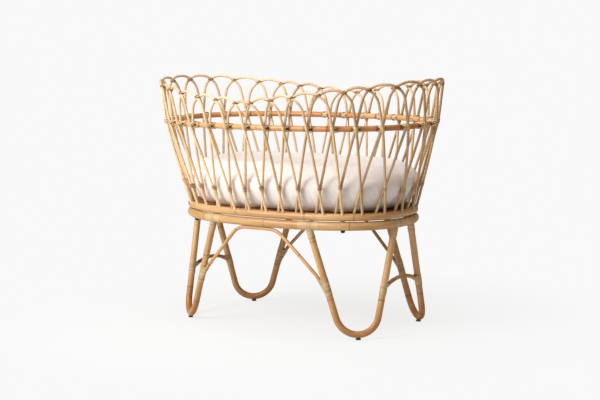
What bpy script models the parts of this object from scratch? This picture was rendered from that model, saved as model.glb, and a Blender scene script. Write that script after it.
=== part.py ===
"""Rattan bassinet: an oval basket of interlaced hoops, bolted on a stand with four looped legs.

Metres, +Z up, +X along the bassinet. The origin is on the floor, under the middle of the oval.
Every height and outline follows from the driving dimensions below.
"""

import math

import bmesh
import bpy
import numpy as np
from mathutils import Vector

# Plan outlines: half sizes of the centre lines of the two stacked rings and of the rail
RING_HALF_LENGTH = 0.400
RING_HALF_WIDTH = 0.220
RAIL_HALF_LENGTH = 0.460
RAIL_HALF_WIDTH = 0.250
OVAL_POWER = 2.4

# Heights
STAND_RING_HEIGHT = 0.345
RAIL_RISE = 0.271
RIM_RISE_SIDE = 0.082
RIM_RISE_END = 0.137

# Rattan poles and rods, as diameters
STAND_RING_POLE = 0.026
BASKET_RING_POLE = 0.022
RAIL_POLE = 0.0175
LEG_POLE = 0.0195
BRACE_ROD = 0.011
ARCH_ROD = 0.012
HOOP_ROD = 0.0078
CROSS_BAR_ROD = 0.010
RING_STEPS = 52

# Hoops of the basket wall, measured in pitches between two hoops
HOOP_COUNT = 32
HOOP_REACH_AT_RAIL = 1.0
HOOP_REACH_AT_RING = 1.70
LAYER_CHANGE = 0.35
LAYER_GAP = 0.0009
FLARE_ABOVE_RAIL = 0.45
ARCH_STEPS = 7

# Leg loops
FOOT_HALF_LENGTH = 0.339
FOOT_HALF_WIDTH = 0.164
LEG_TOP_FROM_MIDLINE = 0.040
LEG_TOP_FROM_CENTRE = 0.188
LEG_BEND_RADIUS = 0.066
LEG_BEND_STEPS = 12

# Braces between the legs
JOINT_HEIGHT = 0.158
ARCH_JOINT_HEIGHT = 0.150
BRACE_TOP_HALF_LENGTH = 0.078
BRACE_BEND_LENGTH = 0.030
ARCH_CROWN_RISE = 0.025

# Glides, bolts and washers
GLIDE_DIAMETER = 0.016
GLIDE_HEIGHT = 0.005
GLIDE_PIN = 0.003
GLIDE_PIN_LENGTH = 0.011
BOLT_SHANK = 0.006
BOLT_KNOB = 0.014
BOLT_KNOB_HEIGHT = 0.007
BOLT_REACH_IN_RING = 0.014
WASHER_DIAMETER = 0.015
RING_GAP = 0.003

# Base panel and mattress
PANEL_THICKNESS = 0.006
PANEL_ABOVE_RING_CENTRE = 0.004
PANEL_CLEARANCE = 0.001
CROSS_BAR_FROM_CENTRE = 0.150
MATTRESS_THICKNESS = 0.138
MATTRESS_SIDE_CLEARANCE = 0.006
MATTRESS_EDGE_RADIUS = 0.042

# Clearances
TOUCH_GAP = 0.0003
ROD_END_GAP = 0.0012
RAIL_GAP = 0.0015
HOLE_CLEARANCE = 0.001

BASKET_RING_HEIGHT = (
    STAND_RING_HEIGHT + STAND_RING_POLE / 2 + RING_GAP + BASKET_RING_POLE / 2
)
RAIL_HEIGHT = BASKET_RING_HEIGHT + RAIL_RISE
LEG_TOP_HEIGHT = STAND_RING_HEIGHT
LEG_FOOT_HEIGHT = GLIDE_HEIGHT + TOUCH_GAP + LEG_POLE / 2
LAYER_STEP = HOOP_ROD + LAYER_GAP
PANEL_BOTTOM = BASKET_RING_HEIGHT + PANEL_ABOVE_RING_CENTRE
PANEL_TOP = PANEL_BOTTOM + PANEL_THICKNESS

CORNERS = {
    "front_left": (-1, -1),
    "front_right": (1, -1),
    "back_left": (-1, 1),
    "back_right": (1, 1),
}

# Colour, roughness and metallic value of each material
POLE_RATTAN = ((0.66, 0.42, 0.19, 1.0), 0.45, 0.0)
ROD_RATTAN = ((0.76, 0.58, 0.34, 1.0), 0.5, 0.0)
RAIL_RATTAN = ((0.47, 0.24, 0.09, 1.0), 0.45, 0.0)
DARK_BOARD = ((0.22, 0.12, 0.06, 1.0), 0.6, 0.0)
COTTON = ((0.87, 0.84, 0.80, 1.0), 0.9, 0.0)
DARK_METAL = ((0.05, 0.045, 0.04, 1.0), 0.4, 0.9)
PALE_METAL = ((0.55, 0.54, 0.52, 1.0), 0.35, 0.9)
DARK_RUBBER = ((0.06, 0.05, 0.045, 1.0), 0.7, 0.0)


def clear_scene():
    for obj in list(bpy.data.objects):
        bpy.data.objects.remove(obj, do_unlink=True)


def new_collection(name, is_helper=False):
    collection = bpy.data.collections.new(name)
    bpy.context.scene.collection.children.link(collection)
    collection.hide_render = is_helper
    return collection


def finish(obj, look):
    colour, roughness, metallic = look
    material = bpy.data.materials.new(obj.name + "_finish")
    material.use_nodes = True
    shader = material.node_tree.nodes["Principled BSDF"]
    shader.inputs["Base Color"].default_value = colour
    shader.inputs["Roughness"].default_value = roughness
    shader.inputs["Metallic"].default_value = metallic
    obj.data.materials.clear()
    obj.data.materials.append(material)
    return obj


def rod(name, points, diameter, collection, closed=False, bevel=1):
    """A round rod along the given points."""
    curve = bpy.data.curves.new(name, "CURVE")
    curve.dimensions = "3D"
    curve.bevel_depth = diameter / 2
    curve.bevel_resolution = bevel
    curve.use_fill_caps = not closed
    spline = curve.splines.new("POLY")
    spline.points.add(len(points) - 1)
    for knot, point in zip(spline.points, points):
        knot.co = (*point, 1.0)
    spline.use_cyclic_u = closed
    obj = bpy.data.objects.new(name, curve)
    collection.objects.link(obj)
    return obj


def as_mesh(curve_object):
    """The same rod as a closed mesh, which a Boolean can work on."""
    bpy.context.view_layer.update()
    graph = bpy.context.evaluated_depsgraph_get()
    mesh = bpy.data.meshes.new_from_object(curve_object.evaluated_get(graph))
    shape = bmesh.new()
    shape.from_mesh(mesh)
    bmesh.ops.remove_doubles(shape, verts=shape.verts, dist=1e-6)
    bmesh.ops.recalc_face_normals(shape, faces=shape.faces)
    shape.to_mesh(mesh)
    shape.free()
    name = curve_object.name
    home = curve_object.users_collection[0]
    matrix = curve_object.matrix_world.copy()
    bpy.data.objects.remove(curve_object, do_unlink=True)
    obj = bpy.data.objects.new(name, mesh)
    obj.matrix_world = matrix
    home.objects.link(obj)
    return obj


def cylinder(name, centre, diameter, height, collection, sides=16):
    """An upright cylinder whose bottom face is centred at the given point."""
    mesh = bpy.data.meshes.new(name)
    shape = bmesh.new()
    bmesh.ops.create_cone(
        shape,
        cap_ends=True,
        segments=sides,
        radius1=diameter / 2,
        radius2=diameter / 2,
        depth=height,
    )
    bmesh.ops.translate(shape, verts=shape.verts, vec=(0, 0, height / 2))
    shape.to_mesh(mesh)
    shape.free()
    obj = bpy.data.objects.new(name, mesh)
    obj.location = centre
    collection.objects.link(obj)
    return obj


def turned(name, profile, centre, collection, steps=16):
    """A round piece, turned from a profile of (radius, height) that runs from top to bottom."""
    mesh = bpy.data.meshes.new(name)
    points = [(radius, 0.0, height) for radius, height in profile]
    mesh.from_pydata(points, [(i, i + 1) for i in range(len(points) - 1)], [])
    obj = bpy.data.objects.new(name, mesh)
    obj.location = centre
    collection.objects.link(obj)
    screw = obj.modifiers.new("Turn", "SCREW")
    screw.steps = steps
    screw.render_steps = steps
    screw.use_merge_vertices = True
    screw.merge_threshold = 0.00001
    return obj


def cut(obj, cutter):
    cutter.hide_render = True
    cutter.display_type = "WIRE"
    boolean = obj.modifiers.new("Cut " + cutter.name, "BOOLEAN")
    boolean.operation = "DIFFERENCE"
    boolean.solver = "EXACT"
    boolean.object = cutter


def oval_unit(angle):
    """Point of an oval whose two half sizes are 1."""
    power = 2 / OVAL_POWER
    along = math.copysign(abs(math.cos(angle)) ** power, math.cos(angle))
    across = math.copysign(abs(math.sin(angle)) ** power, math.sin(angle))
    return along, across


def even_turns(half_length, half_width, samples=1440):
    """Length along an oval at each sampled angle, as a share of its whole length."""
    angles = np.linspace(0, 2 * math.pi, samples + 1)
    points = np.array([oval_unit(a) for a in angles]) * (half_length, half_width)
    steps = np.hypot(*np.diff(points, axis=0).T)
    walked = np.concatenate([[0], np.cumsum(steps)])
    return angles, walked / walked[-1]


RAIL_ANGLES, RAIL_SHARES = even_turns(RAIL_HALF_LENGTH, RAIL_HALF_WIDTH)


def angle_at(turn):
    """Angle of the oval after this share of the way round the rail."""
    return float(np.interp(turn % 1.0, RAIL_SHARES, RAIL_ANGLES))


def oval_ring(half_length, half_width, height, count):
    points = []
    for i in range(count):
        along, across = oval_unit(angle_at(i / count))
        points.append((half_length * along, half_width * across, height))
    return points


def ring_across(along):
    """Half width of the ring's centre line at this distance along X."""
    share = (abs(along) / RING_HALF_LENGTH) ** OVAL_POWER
    return RING_HALF_WIDTH * (1 - share) ** (1 / OVAL_POWER)


def ring_along(across):
    """Half length of the ring's centre line at this distance along Y."""
    share = (abs(across) / RING_HALF_WIDTH) ** OVAL_POWER
    return RING_HALF_LENGTH * (1 - share) ** (1 / OVAL_POWER)


def corner_point():
    """Middle of a leg's stretch of ring, where its bolt goes through (first quarter)."""
    along = (ring_along(LEG_TOP_FROM_MIDLINE) + LEG_TOP_FROM_CENTRE) / 2
    return along, ring_across(along)


# ---------------------------------------------------------------- basket wall


def wall_point(turn, rise, layer):
    """Centre of a hoop rod: rise is above the ring's centre, layer is 0 inside and 1 outside."""
    share = rise / RAIL_RISE
    if share > 1:
        share = 1 + (share - 1) * FLARE_ABOVE_RAIL
    at_ring = (layer - 0.5) * LAYER_STEP
    at_rail = (RAIL_POLE + HOOP_ROD) / 2 + RAIL_GAP + layer * LAYER_STEP
    outwards = at_ring + (at_rail - at_ring) * share
    length = RING_HALF_LENGTH + (RAIL_HALF_LENGTH - RING_HALF_LENGTH) * share
    width = RING_HALF_WIDTH + (RAIL_HALF_WIDTH - RING_HALF_WIDTH) * share
    along, across = oval_unit(angle_at(turn))
    height = BASKET_RING_HEIGHT + rise
    return Vector(((length + outwards) * along, (width + outwards) * across, height))


def rim_rise(turn):
    """Height of a hoop's crown above the rail: low at the sides and high at the two ends."""
    along = abs(oval_unit(angle_at(turn))[0])
    return RIM_RISE_SIDE + (RIM_RISE_END - RIM_RISE_SIDE) * along


def rail_pitch():
    points = oval_ring(RAIL_HALF_LENGTH, RAIL_HALF_WIDTH, 0, 360)
    length = sum(math.dist(a, b) for a, b in zip(points, points[1:] + points[:1]))
    return length / HOOP_COUNT


def half_hoop(crown, pitch):
    """(distance from the hoop's middle, rise above the rail), from the crown down to the ring.

    The leg is straight, and a round arch that is tangent to it makes the crown. One point lies
    exactly at the rail, where the wall starts to flare less.
    """
    lean = (HOOP_REACH_AT_RING - HOOP_REACH_AT_RAIL) * pitch / RAIL_RISE
    tilt = math.atan(lean)
    reach = HOOP_REACH_AT_RAIL * pitch
    radius = (reach - lean * crown) / (1 / math.cos(tilt) - lean)
    profile = []
    for i in range(ARCH_STEPS + 1):
        turn = (math.pi / 2 - tilt) * i / ARCH_STEPS
        profile.append((radius * math.sin(turn), crown - radius + radius * math.cos(turn)))
    start, top = profile[-1]
    bottom = BASKET_RING_POLE / 2 + HOOP_ROD / 2 + ROD_END_GAP - RAIL_RISE
    for rise in (top / 2, 0.0, bottom / 3, bottom * 2 / 3, bottom):
        profile.append((start + (top - rise) * lean, rise))
    return profile


def layer_at(distance, pitch):
    """0 on the hoop's left side, 1 on its right side, with a smooth change over the crown."""
    share = (distance / pitch / LAYER_CHANGE + 1) / 2
    share = min(max(share, 0.0), 1.0)
    return share * share * (3 - 2 * share)


def hoop_points(index, pitch):
    middle = index / HOOP_COUNT
    half = half_hoop(rim_rise(middle), pitch)
    whole = [(-x, z) for x, z in reversed(half)] + half[1:]
    points = []
    for distance, rise in whole:
        turn = middle + distance / pitch / HOOP_COUNT
        points.append(wall_point(turn, RAIL_RISE + rise, layer_at(distance, pitch)))
    return points


def build_hoops(parts):
    pitch = rail_pitch()
    for index in range(HOOP_COUNT):
        name = f"hoop_{index + 1:02d}"
        finish(rod(name, hoop_points(index, pitch), HOOP_ROD, parts), ROD_RATTAN)


def build_rail(parts):
    points = oval_ring(RAIL_HALF_LENGTH, RAIL_HALF_WIDTH, RAIL_HEIGHT, RING_STEPS)
    finish(rod("mid_rail", points, RAIL_POLE, parts, closed=True), RAIL_RATTAN)


# ---------------------------------------------------------------- rings and fasteners


def drill(ring, helpers, bottom, depth):
    """A bolt hole at each corner of a ring, from this height upwards."""
    along, across = corner_point()
    for corner, (side_x, side_y) in CORNERS.items():
        name = f"{ring.name}_hole_{corner}"
        centre = (side_x * along, side_y * across, bottom)
        hole = cylinder(name, centre, BOLT_SHANK + HOLE_CLEARANCE, depth, helpers)
        cut(ring, hole)


def build_rings(parts, helpers):
    outline = (RING_HALF_LENGTH, RING_HALF_WIDTH)
    lower = rod(
        "stand_ring",
        oval_ring(*outline, STAND_RING_HEIGHT, RING_STEPS),
        STAND_RING_POLE,
        parts,
        closed=True,
        bevel=2,
    )
    lower = finish(as_mesh(lower), POLE_RATTAN)
    drill(lower, helpers, STAND_RING_HEIGHT - STAND_RING_POLE, 2 * STAND_RING_POLE)
    upper = rod(
        "basket_ring",
        oval_ring(*outline, BASKET_RING_HEIGHT, RING_STEPS),
        BASKET_RING_POLE,
        parts,
        closed=True,
        bevel=2,
    )
    upper = finish(as_mesh(upper), POLE_RATTAN)
    below = BASKET_RING_HEIGHT - BASKET_RING_POLE
    hole_top = BASKET_RING_HEIGHT - BASKET_RING_POLE / 2 + BOLT_REACH_IN_RING
    drill(upper, helpers, below, hole_top + HOLE_CLEARANCE - below)


def build_fasteners(parts):
    """A knobbed bolt and a washer at each corner: the bolt comes up through the stand's ring."""
    along, across = corner_point()
    knob_top = STAND_RING_HEIGHT - STAND_RING_POLE / 2 - TOUCH_GAP
    shank_top = BASKET_RING_HEIGHT - BASKET_RING_POLE / 2 + BOLT_REACH_IN_RING
    shank = BOLT_SHANK / 2
    knob = BOLT_KNOB / 2
    bolt_profile = [
        (0.0, shank_top),
        (shank * 0.7, shank_top),
        (shank, shank_top - shank * 0.4),
        (shank, knob_top),
        (knob * 0.92, knob_top),
        (knob, knob_top - BOLT_KNOB_HEIGHT * 0.25),
        (knob * 0.8, knob_top - BOLT_KNOB_HEIGHT * 0.8),
        (knob * 0.4, knob_top - BOLT_KNOB_HEIGHT),
        (0.0, knob_top - BOLT_KNOB_HEIGHT),
    ]
    washer_bottom = STAND_RING_HEIGHT + STAND_RING_POLE / 2 + TOUCH_GAP
    washer_top = washer_bottom + RING_GAP - 2 * TOUCH_GAP
    bore = (BOLT_SHANK + HOLE_CLEARANCE) / 2
    rim = WASHER_DIAMETER / 2
    washer_profile = [
        (bore, washer_top),
        (rim, washer_top),
        (rim, washer_bottom),
        (bore, washer_bottom),
        (bore, washer_top),
    ]
    for corner, (side_x, side_y) in CORNERS.items():
        centre = (side_x * along, side_y * across, 0.0)
        finish(turned("bolt_" + corner, bolt_profile, centre, parts, 12), DARK_METAL)
        finish(turned("washer_" + corner, washer_profile, centre, parts), PALE_METAL)


# ---------------------------------------------------------------- stand


def leg_line():
    """(distance from the loop's middle, height) from the foot's lowest point up one side."""
    low = LEG_FOOT_HEIGHT
    inner = Vector((LEG_TOP_FROM_CENTRE, ring_across(LEG_TOP_FROM_CENTRE)))
    outer = Vector((ring_along(LEG_TOP_FROM_MIDLINE), LEG_TOP_FROM_MIDLINE))
    spread = (outer - inner).length / 2
    centre = Vector((0.0, low + LEG_BEND_RADIUS))
    top = Vector((spread, LEG_TOP_HEIGHT))
    reach = top - centre
    tangent = math.atan2(reach.y, reach.x) - math.acos(LEG_BEND_RADIUS / reach.length)
    points = []
    for i in range(LEG_BEND_STEPS + 1):
        angle = -math.pi / 2 + (tangent + math.pi / 2) * i / LEG_BEND_STEPS
        step = Vector((math.cos(angle), math.sin(angle))) * LEG_BEND_RADIUS
        points.append(centre + step)
    start = points[-1]
    return points + [start.lerp(top, share) for share in (0.33, 0.66, 1.0)]


def leg_place(distance, height):
    """Point of the first quarter's leg: distance is towards the end (+) or the side (-)."""
    inner = Vector((LEG_TOP_FROM_CENTRE, ring_across(LEG_TOP_FROM_CENTRE)))
    outer = Vector((ring_along(LEG_TOP_FROM_MIDLINE), LEG_TOP_FROM_MIDLINE))
    middle = (inner + outer) / 2
    foot = Vector((FOOT_HALF_LENGTH, FOOT_HALF_WIDTH))
    down = (LEG_TOP_HEIGHT - height) / (LEG_TOP_HEIGHT - LEG_FOOT_HEIGHT)
    spot = middle.lerp(foot, down) + (outer - inner).normalized() * distance
    return Vector((spot.x, spot.y, height))


def leg_distance(height):
    """Distance of a leg's upright from the loop's middle at this height."""
    line = leg_line()
    return float(np.interp(height, [p.y for p in line], [p.x for p in line]))


def mirrored(point, corner):
    side_x, side_y = CORNERS[corner]
    return Vector((side_x * point.x, side_y * point.y, point.z))


def build_legs(parts, helpers):
    """Each leg is one bent pole, hollowed at both tops to fit under the ring."""
    half = leg_line()
    whole = [(-p.x, p.y) for p in reversed(half)] + [(p.x, p.y) for p in half[1:]]
    seat = rod(
        "ring_seat",
        oval_ring(RING_HALF_LENGTH, RING_HALF_WIDTH, STAND_RING_HEIGHT, RING_STEPS),
        STAND_RING_POLE + 2 * TOUCH_GAP,
        helpers,
        closed=True,
        bevel=2,
    )
    seat = as_mesh(seat)
    pin_hole = LEG_FOOT_HEIGHT - LEG_POLE
    pin_top = GLIDE_HEIGHT + GLIDE_PIN_LENGTH + HOLE_CLEARANCE
    for corner in CORNERS:
        points = [mirrored(leg_place(*spot), corner) for spot in whole]
        leg = as_mesh(rod("leg_" + corner, points, LEG_POLE, parts, bevel=2))
        finish(leg, POLE_RATTAN)
        cut(leg, seat)
        foot = mirrored(leg_place(0.0, LEG_FOOT_HEIGHT), corner)
        centre = (foot.x, foot.y, pin_hole)
        width = GLIDE_PIN + HOLE_CLEARANCE
        cut(leg, cylinder("pin_" + corner, centre, width, pin_top - pin_hole, helpers, 8))


def build_glides(parts):
    """A rubber glide with its pin, pushed up into the lowest point of each leg."""
    radius = GLIDE_DIAMETER / 2
    pin = GLIDE_PIN / 2
    profile = [
        (0.0, GLIDE_HEIGHT + GLIDE_PIN_LENGTH),
        (pin, GLIDE_HEIGHT + GLIDE_PIN_LENGTH - pin),
        (pin, GLIDE_HEIGHT),
        (radius * 0.85, GLIDE_HEIGHT),
        (radius, GLIDE_HEIGHT * 0.7),
        (radius, GLIDE_HEIGHT * 0.2),
        (radius * 0.85, 0.0),
        (0.0, 0.0),
    ]
    for corner in CORNERS:
        foot = mirrored(leg_place(0.0, LEG_FOOT_HEIGHT), corner)
        centre = (foot.x, foot.y, 0.0)
        finish(turned("glide_" + corner, profile, centre, parts, 12), DARK_RUBBER)


def bend(before, corner, after, length, steps=5):
    """Points of a rounded corner that starts and ends this far from its tip."""
    start = corner + (before - corner).normalized() * length
    end = corner + (after - corner).normalized() * length
    points = []
    for i in range(steps + 1):
        share = i / steps
        points.append(start.lerp(corner, share).lerp(corner.lerp(end, share), share))
    return points


def butt_end(target, origin, pole_line, pole, rod_width):
    """Where a rod from the origin stops, so that its flat end clears the pole it points at."""
    toward = (origin - target).normalized()
    slope = abs(toward.dot(pole_line.normalized()))
    level = math.sqrt(1 - slope * slope)
    return target + toward * (pole / 2 + TOUCH_GAP + rod_width / 2 * slope) / level


def build_long_braces(parts):
    """One rod along each side: up from a leg, along under the ring, and down to the next leg."""
    height = STAND_RING_HEIGHT - (STAND_RING_POLE + BRACE_ROD) / 2 - TOUCH_GAP
    side = RING_HALF_WIDTH
    joint = leg_place(-leg_distance(JOINT_HEIGHT), JOINT_HEIGHT)
    pole_line = leg_place(-leg_distance(LEG_TOP_HEIGHT), LEG_TOP_HEIGHT) - joint
    tip = Vector((BRACE_TOP_HALF_LENGTH, side, height))
    end = butt_end(joint, tip, pole_line, LEG_POLE, BRACE_ROD)
    middle = Vector((0.0, side, height))
    half = [end] + bend(end, tip, middle, BRACE_BEND_LENGTH)
    for name, side_y in (("front_brace", -1), ("back_brace", 1)):
        left = [Vector((-p.x, side_y * p.y, p.z)) for p in half]
        right = [Vector((p.x, side_y * p.y, p.z)) for p in reversed(half)]
        finish(rod(name, left + right, BRACE_ROD, parts), POLE_RATTAN)


def build_end_arches(parts, steps=12):
    """A shallow bow between the two legs at each end."""
    upright = leg_place(leg_distance(ARCH_JOINT_HEIGHT), ARCH_JOINT_HEIGHT)
    pole_line = leg_place(leg_distance(LEG_TOP_HEIGHT), LEG_TOP_HEIGHT) - upright
    slope = Vector((0.0, -upright.y, 2 * ARCH_CROWN_RISE))
    half_span = butt_end(upright, upright + slope, pole_line, LEG_POLE, ARCH_ROD).y
    for name, side_x in (("left_end_arch", -1), ("right_end_arch", 1)):
        points = []
        for i in range(steps + 1):
            share = 2 * i / steps - 1
            rise = ARCH_CROWN_RISE * (1 - share * share)
            points.append((side_x * upright.x, half_span * share, ARCH_JOINT_HEIGHT + rise))
        finish(rod(name, points, ARCH_ROD, parts), POLE_RATTAN)


# ---------------------------------------------------------------- base and mattress


def oval_slab(name, half_sizes, bottom, thickness, collection, sides, grow=(0.0, 0.0)):
    """A flat oval board or pad, whose top may be larger than its bottom."""
    mesh = bpy.data.meshes.new(name)
    shape = bmesh.new()
    bmesh.ops.create_cone(
        shape, cap_ends=True, segments=sides, radius1=1, radius2=1, depth=thickness
    )
    for vertex in shape.verts:
        turn = math.atan2(vertex.co.y, vertex.co.x) / (2 * math.pi)
        along, across = oval_unit(angle_at(turn))
        share = vertex.co.z / thickness + 0.5
        vertex.co.x = (half_sizes[0] + grow[0] * share) * along
        vertex.co.y = (half_sizes[1] + grow[1] * share) * across
        vertex.co.z += bottom + thickness / 2
    shape.to_mesh(mesh)
    shape.free()
    obj = bpy.data.objects.new(name, mesh)
    collection.objects.link(obj)
    return obj


def build_base(parts):
    inset = BASKET_RING_POLE / 2 + PANEL_CLEARANCE
    panel = oval_slab(
        "base_panel",
        (RING_HALF_LENGTH - inset, RING_HALF_WIDTH - inset),
        PANEL_BOTTOM,
        PANEL_THICKNESS,
        parts,
        48,
    )
    finish(panel, DARK_BOARD)
    height = PANEL_BOTTOM - TOUCH_GAP - CROSS_BAR_ROD / 2
    end = ring_across(CROSS_BAR_FROM_CENTRE) - BASKET_RING_POLE / 2 - 2 * ROD_END_GAP
    for name, along in (("left_cross_bar", -1), ("right_cross_bar", 1)):
        x = along * CROSS_BAR_FROM_CENTRE
        bar = rod(name, [(x, -end, height), (x, end, height)], CROSS_BAR_ROD, parts)
        finish(bar, POLE_RATTAN)


def build_mattress(parts):
    """The mattress fills the basket, so its sides lean outwards with the wall."""
    inset = (LAYER_STEP + HOOP_ROD) / 2 + MATTRESS_SIDE_CLEARANCE
    share = MATTRESS_THICKNESS / RAIL_RISE
    longer = (RAIL_HALF_LENGTH - RING_HALF_LENGTH) * share
    wider = (RAIL_HALF_WIDTH - RING_HALF_WIDTH) * share
    pad = oval_slab(
        "mattress",
        (RING_HALF_LENGTH - inset, RING_HALF_WIDTH - inset),
        PANEL_TOP + TOUCH_GAP,
        MATTRESS_THICKNESS,
        parts,
        40,
        grow=(longer, wider),
    )
    edge = pad.modifiers.new("Round edge", "BEVEL")
    edge.width = MATTRESS_EDGE_RADIUS
    edge.segments = 3
    edge.limit_method = "ANGLE"
    edge.angle_limit = math.radians(60)
    finish(pad, COTTON)


def shade_round(collection):
    for obj in collection.objects:
        if obj.type == "MESH":
            obj.data.shade_smooth()
            obj.data.set_sharp_from_angle(angle=math.radians(40))


def main():
    clear_scene()
    parts = new_collection("rattan_bassinet")
    helpers = new_collection("cutters", is_helper=True)
    build_rings(parts, helpers)
    build_fasteners(parts)
    build_legs(parts, helpers)
    build_glides(parts)
    build_long_braces(parts)
    build_end_arches(parts)
    build_base(parts)
    build_rail(parts)
    build_hoops(parts)
    build_mattress(parts)
    shade_round(parts)


main()
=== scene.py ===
"""Rattan bassinet: bent poles, hoops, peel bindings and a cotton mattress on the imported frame.

Metres, +Z up, +X along the bassinet. The frame gives the places; the named sizes below give what
the frame doesn't say. Every finished piece lies in the frame's own coordinates.
"""

import math
import random

import bpy
import numpy as np
from mathutils import Euler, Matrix, Vector, geometry, noise


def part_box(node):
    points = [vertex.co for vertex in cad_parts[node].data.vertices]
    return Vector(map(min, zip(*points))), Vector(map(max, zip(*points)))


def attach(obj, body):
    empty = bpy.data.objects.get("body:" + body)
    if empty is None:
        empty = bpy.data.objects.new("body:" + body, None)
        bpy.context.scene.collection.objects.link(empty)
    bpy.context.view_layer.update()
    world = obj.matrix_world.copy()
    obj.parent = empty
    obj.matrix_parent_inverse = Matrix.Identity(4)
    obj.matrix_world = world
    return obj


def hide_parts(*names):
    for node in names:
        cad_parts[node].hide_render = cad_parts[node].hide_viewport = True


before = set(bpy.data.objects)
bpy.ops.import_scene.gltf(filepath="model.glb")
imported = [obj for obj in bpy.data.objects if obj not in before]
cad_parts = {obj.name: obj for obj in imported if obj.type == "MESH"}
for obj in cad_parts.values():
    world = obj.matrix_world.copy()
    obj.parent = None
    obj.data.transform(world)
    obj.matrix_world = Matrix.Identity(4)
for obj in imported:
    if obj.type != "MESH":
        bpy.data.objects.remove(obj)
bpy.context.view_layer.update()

bl_info = {
    "name": "Rattan bassinet",
    "version": (1, 0, 0),
    "blender": (4, 5, 0),
    "location": "View3D > Sidebar > Bassinet",
    "description": "Builds a rattan bassinet on its stand around the packed frame",
    "category": "Object",
}

# ---------------------------------------------------------------- places read from the frame

CORNERS = {
    "front_left": (-1, -1),
    "front_right": (1, -1),
    "back_left": (-1, 1),
    "back_right": (1, 1),
}
HOOP_NODES = sorted(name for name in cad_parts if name.startswith("hoop_"))
HOOP_COUNT = len(HOOP_NODES)
OVAL_POWER = 2.4


def middle_of(node):
    low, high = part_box(node)
    return (low + high) / 2


def pole_of(node):
    """Diameter of a pole that lies flat."""
    low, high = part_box(node)
    return high.z - low.z


STAND_POLE = pole_of("stand_ring")
BASKET_POLE = pole_of("basket_ring")
RAIL_POLE = 0.0175
STAND_HEIGHT = middle_of("stand_ring").z
BASKET_HEIGHT = middle_of("basket_ring").z
RAIL_HEIGHT = middle_of("mid_rail").z
RAIL_RISE = RAIL_HEIGHT - BASKET_HEIGHT
RING_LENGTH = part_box("stand_ring")[1].x - STAND_POLE / 2
RING_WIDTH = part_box("stand_ring")[1].y - STAND_POLE / 2
RAIL_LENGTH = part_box("mid_rail")[1].x - RAIL_POLE / 2
RAIL_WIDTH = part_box("mid_rail")[1].y - RAIL_POLE / 2
FOOT = middle_of("glide_back_right")
FOOT_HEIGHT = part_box("leg_back_right")[0].z

# Wall: how the hoops stand, in pitches between two hoops and in metres
RIM_RISE_SIDE = 0.082
RIM_RISE_END = 0.137
REACH_AT_RAIL = 1.0
REACH_AT_RING = 1.70
LAYER_CHANGE = 0.35
LAYER_GAP = 0.0009
RAIL_GAP = 0.0015
FLARE_ABOVE_RAIL = 0.45

# Stand: where the leg loops and the braces meet
LEG_TOP_FROM_MIDLINE = 0.040
LEG_TOP_FROM_CENTRE = 0.188
LEG_BEND_RADIUS = 0.066
JOINT_HEIGHT = 0.158
ARCH_JOINT_HEIGHT = 0.150
BRACE_TOP_HALF_LENGTH = 0.078
BRACE_BEND_LENGTH = 0.030
ARCH_CROWN_RISE = 0.025
BRACE_HEEL_DROP = 0.034

# How finely lines and shapes are made, and the angles above which an edge stays sharp
RING_STEPS = 320
RAIL_STEPS = 480
RAIL_STRAY = 0.4
WALL_KINK = 0.05
ROD_EDGE = math.radians(60)
STRAP_EDGE = math.radians(50)
TURNED_EDGE = math.radians(38)
BOARD_EDGE = math.radians(50)
MERGE_DISTANCE = 0.000001
LOOP_STEPS = 24
KNUCKLE_STATIONS = (-0.007, -0.0035, -0.0014, 0.0, 0.0014, 0.0035, 0.007)
TIE_SHADE_AND_STAIN_STATIONS = (-0.003, 0.0, 0.003)
LEAST_STATION_GAP = 0.0004

# Half lengths along a rod over which a knuckle, its groove, its shade, and the painted shade and real stain
# beside a tie fade
KNUCKLE_REACH = 0.0042
GROOVE_REACH = 0.0009
SHADE_REACH = 0.0016
TIE_SHADE_AND_STAIN_REACH = 0.0036

# Section of a strap of peel: (share of its width, share of its thickness)
STRAP_SECTION = ((-0.5, 0.0), (-0.5, 0.62), (0.0, 1.0), (0.5, 0.62), (0.5, 0.0))

# Rail: (share of the way round, tone) of its poles, and how far from a binding the painted shade and stain
# beside it lie
RAIL_TONES = (
    (0.0, 0.30),
    (0.22, 0.30),
    (0.24, 0.92),
    (0.49, 0.92),
    (0.51, 0.30),
    (0.70, 0.34),
    (0.80, 0.62),
    (0.86, 0.88),
    (0.985, 0.88),
    (1.0, 0.30),
)
RAIL_TIE_SHADE_AND_STAIN_AWAY = 0.0105

# Wraps and ties: how far they reach along a pole, how they lean and how pale or dark they are
BINDING_TILT_DEGREES = 46
BINDING_TONE = 0.04
RIM_TIE_TONE = 0.80
RIM_TIE_SHARE = 0.75
WALL_TIE_TURNS = 5
LEG_WRAP_LENGTH = 0.026
LEG_WRAP_TONE = 0.10
RING_WRAP_HALF = {"side": 0.034, "end": 0.019}
RING_WRAP_TONE = 0.14
RING_OVERLAP = 40
BRACE_WRAP_BELOW = 0.030
BRACE_WRAP_MIDDLE = 0.005
BRACE_WRAP_ABOVE = 0.026
ARCH_WRAP_BELOW = 0.017
ARCH_WRAP_ABOVE = 0.019
JOINT_WRAP_TONE = 0.16
UPPER_WRAP_TONE = 0.30

# Random seeds, each the first of a row with one seed for each piece
RING_SEEDS = {"stand_ring": 11, "basket_ring": 12}
RAIL_SEED = 21
LEG_SEED = 40
BRACE_SEED = 60
HOOP_SEED = 100
CROWN_SEED = 500
BINDING_SEED = 700
RIM_TIE_SEED = 800
WALL_TIE_SEED = 900
LEG_WRAP_SEED = 1000
JOINT_WRAP_SEED = 1100

# Mattress: the cloth of its cover and how the cover is made
COTTON_COVER = {
    "quality": 6,
    "mass": 0.3,
    "tension_stiffness": 18,
    "compression_stiffness": 12,
    "shear_stiffness": 8,
    "bending_stiffness": 0.35,
}
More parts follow.
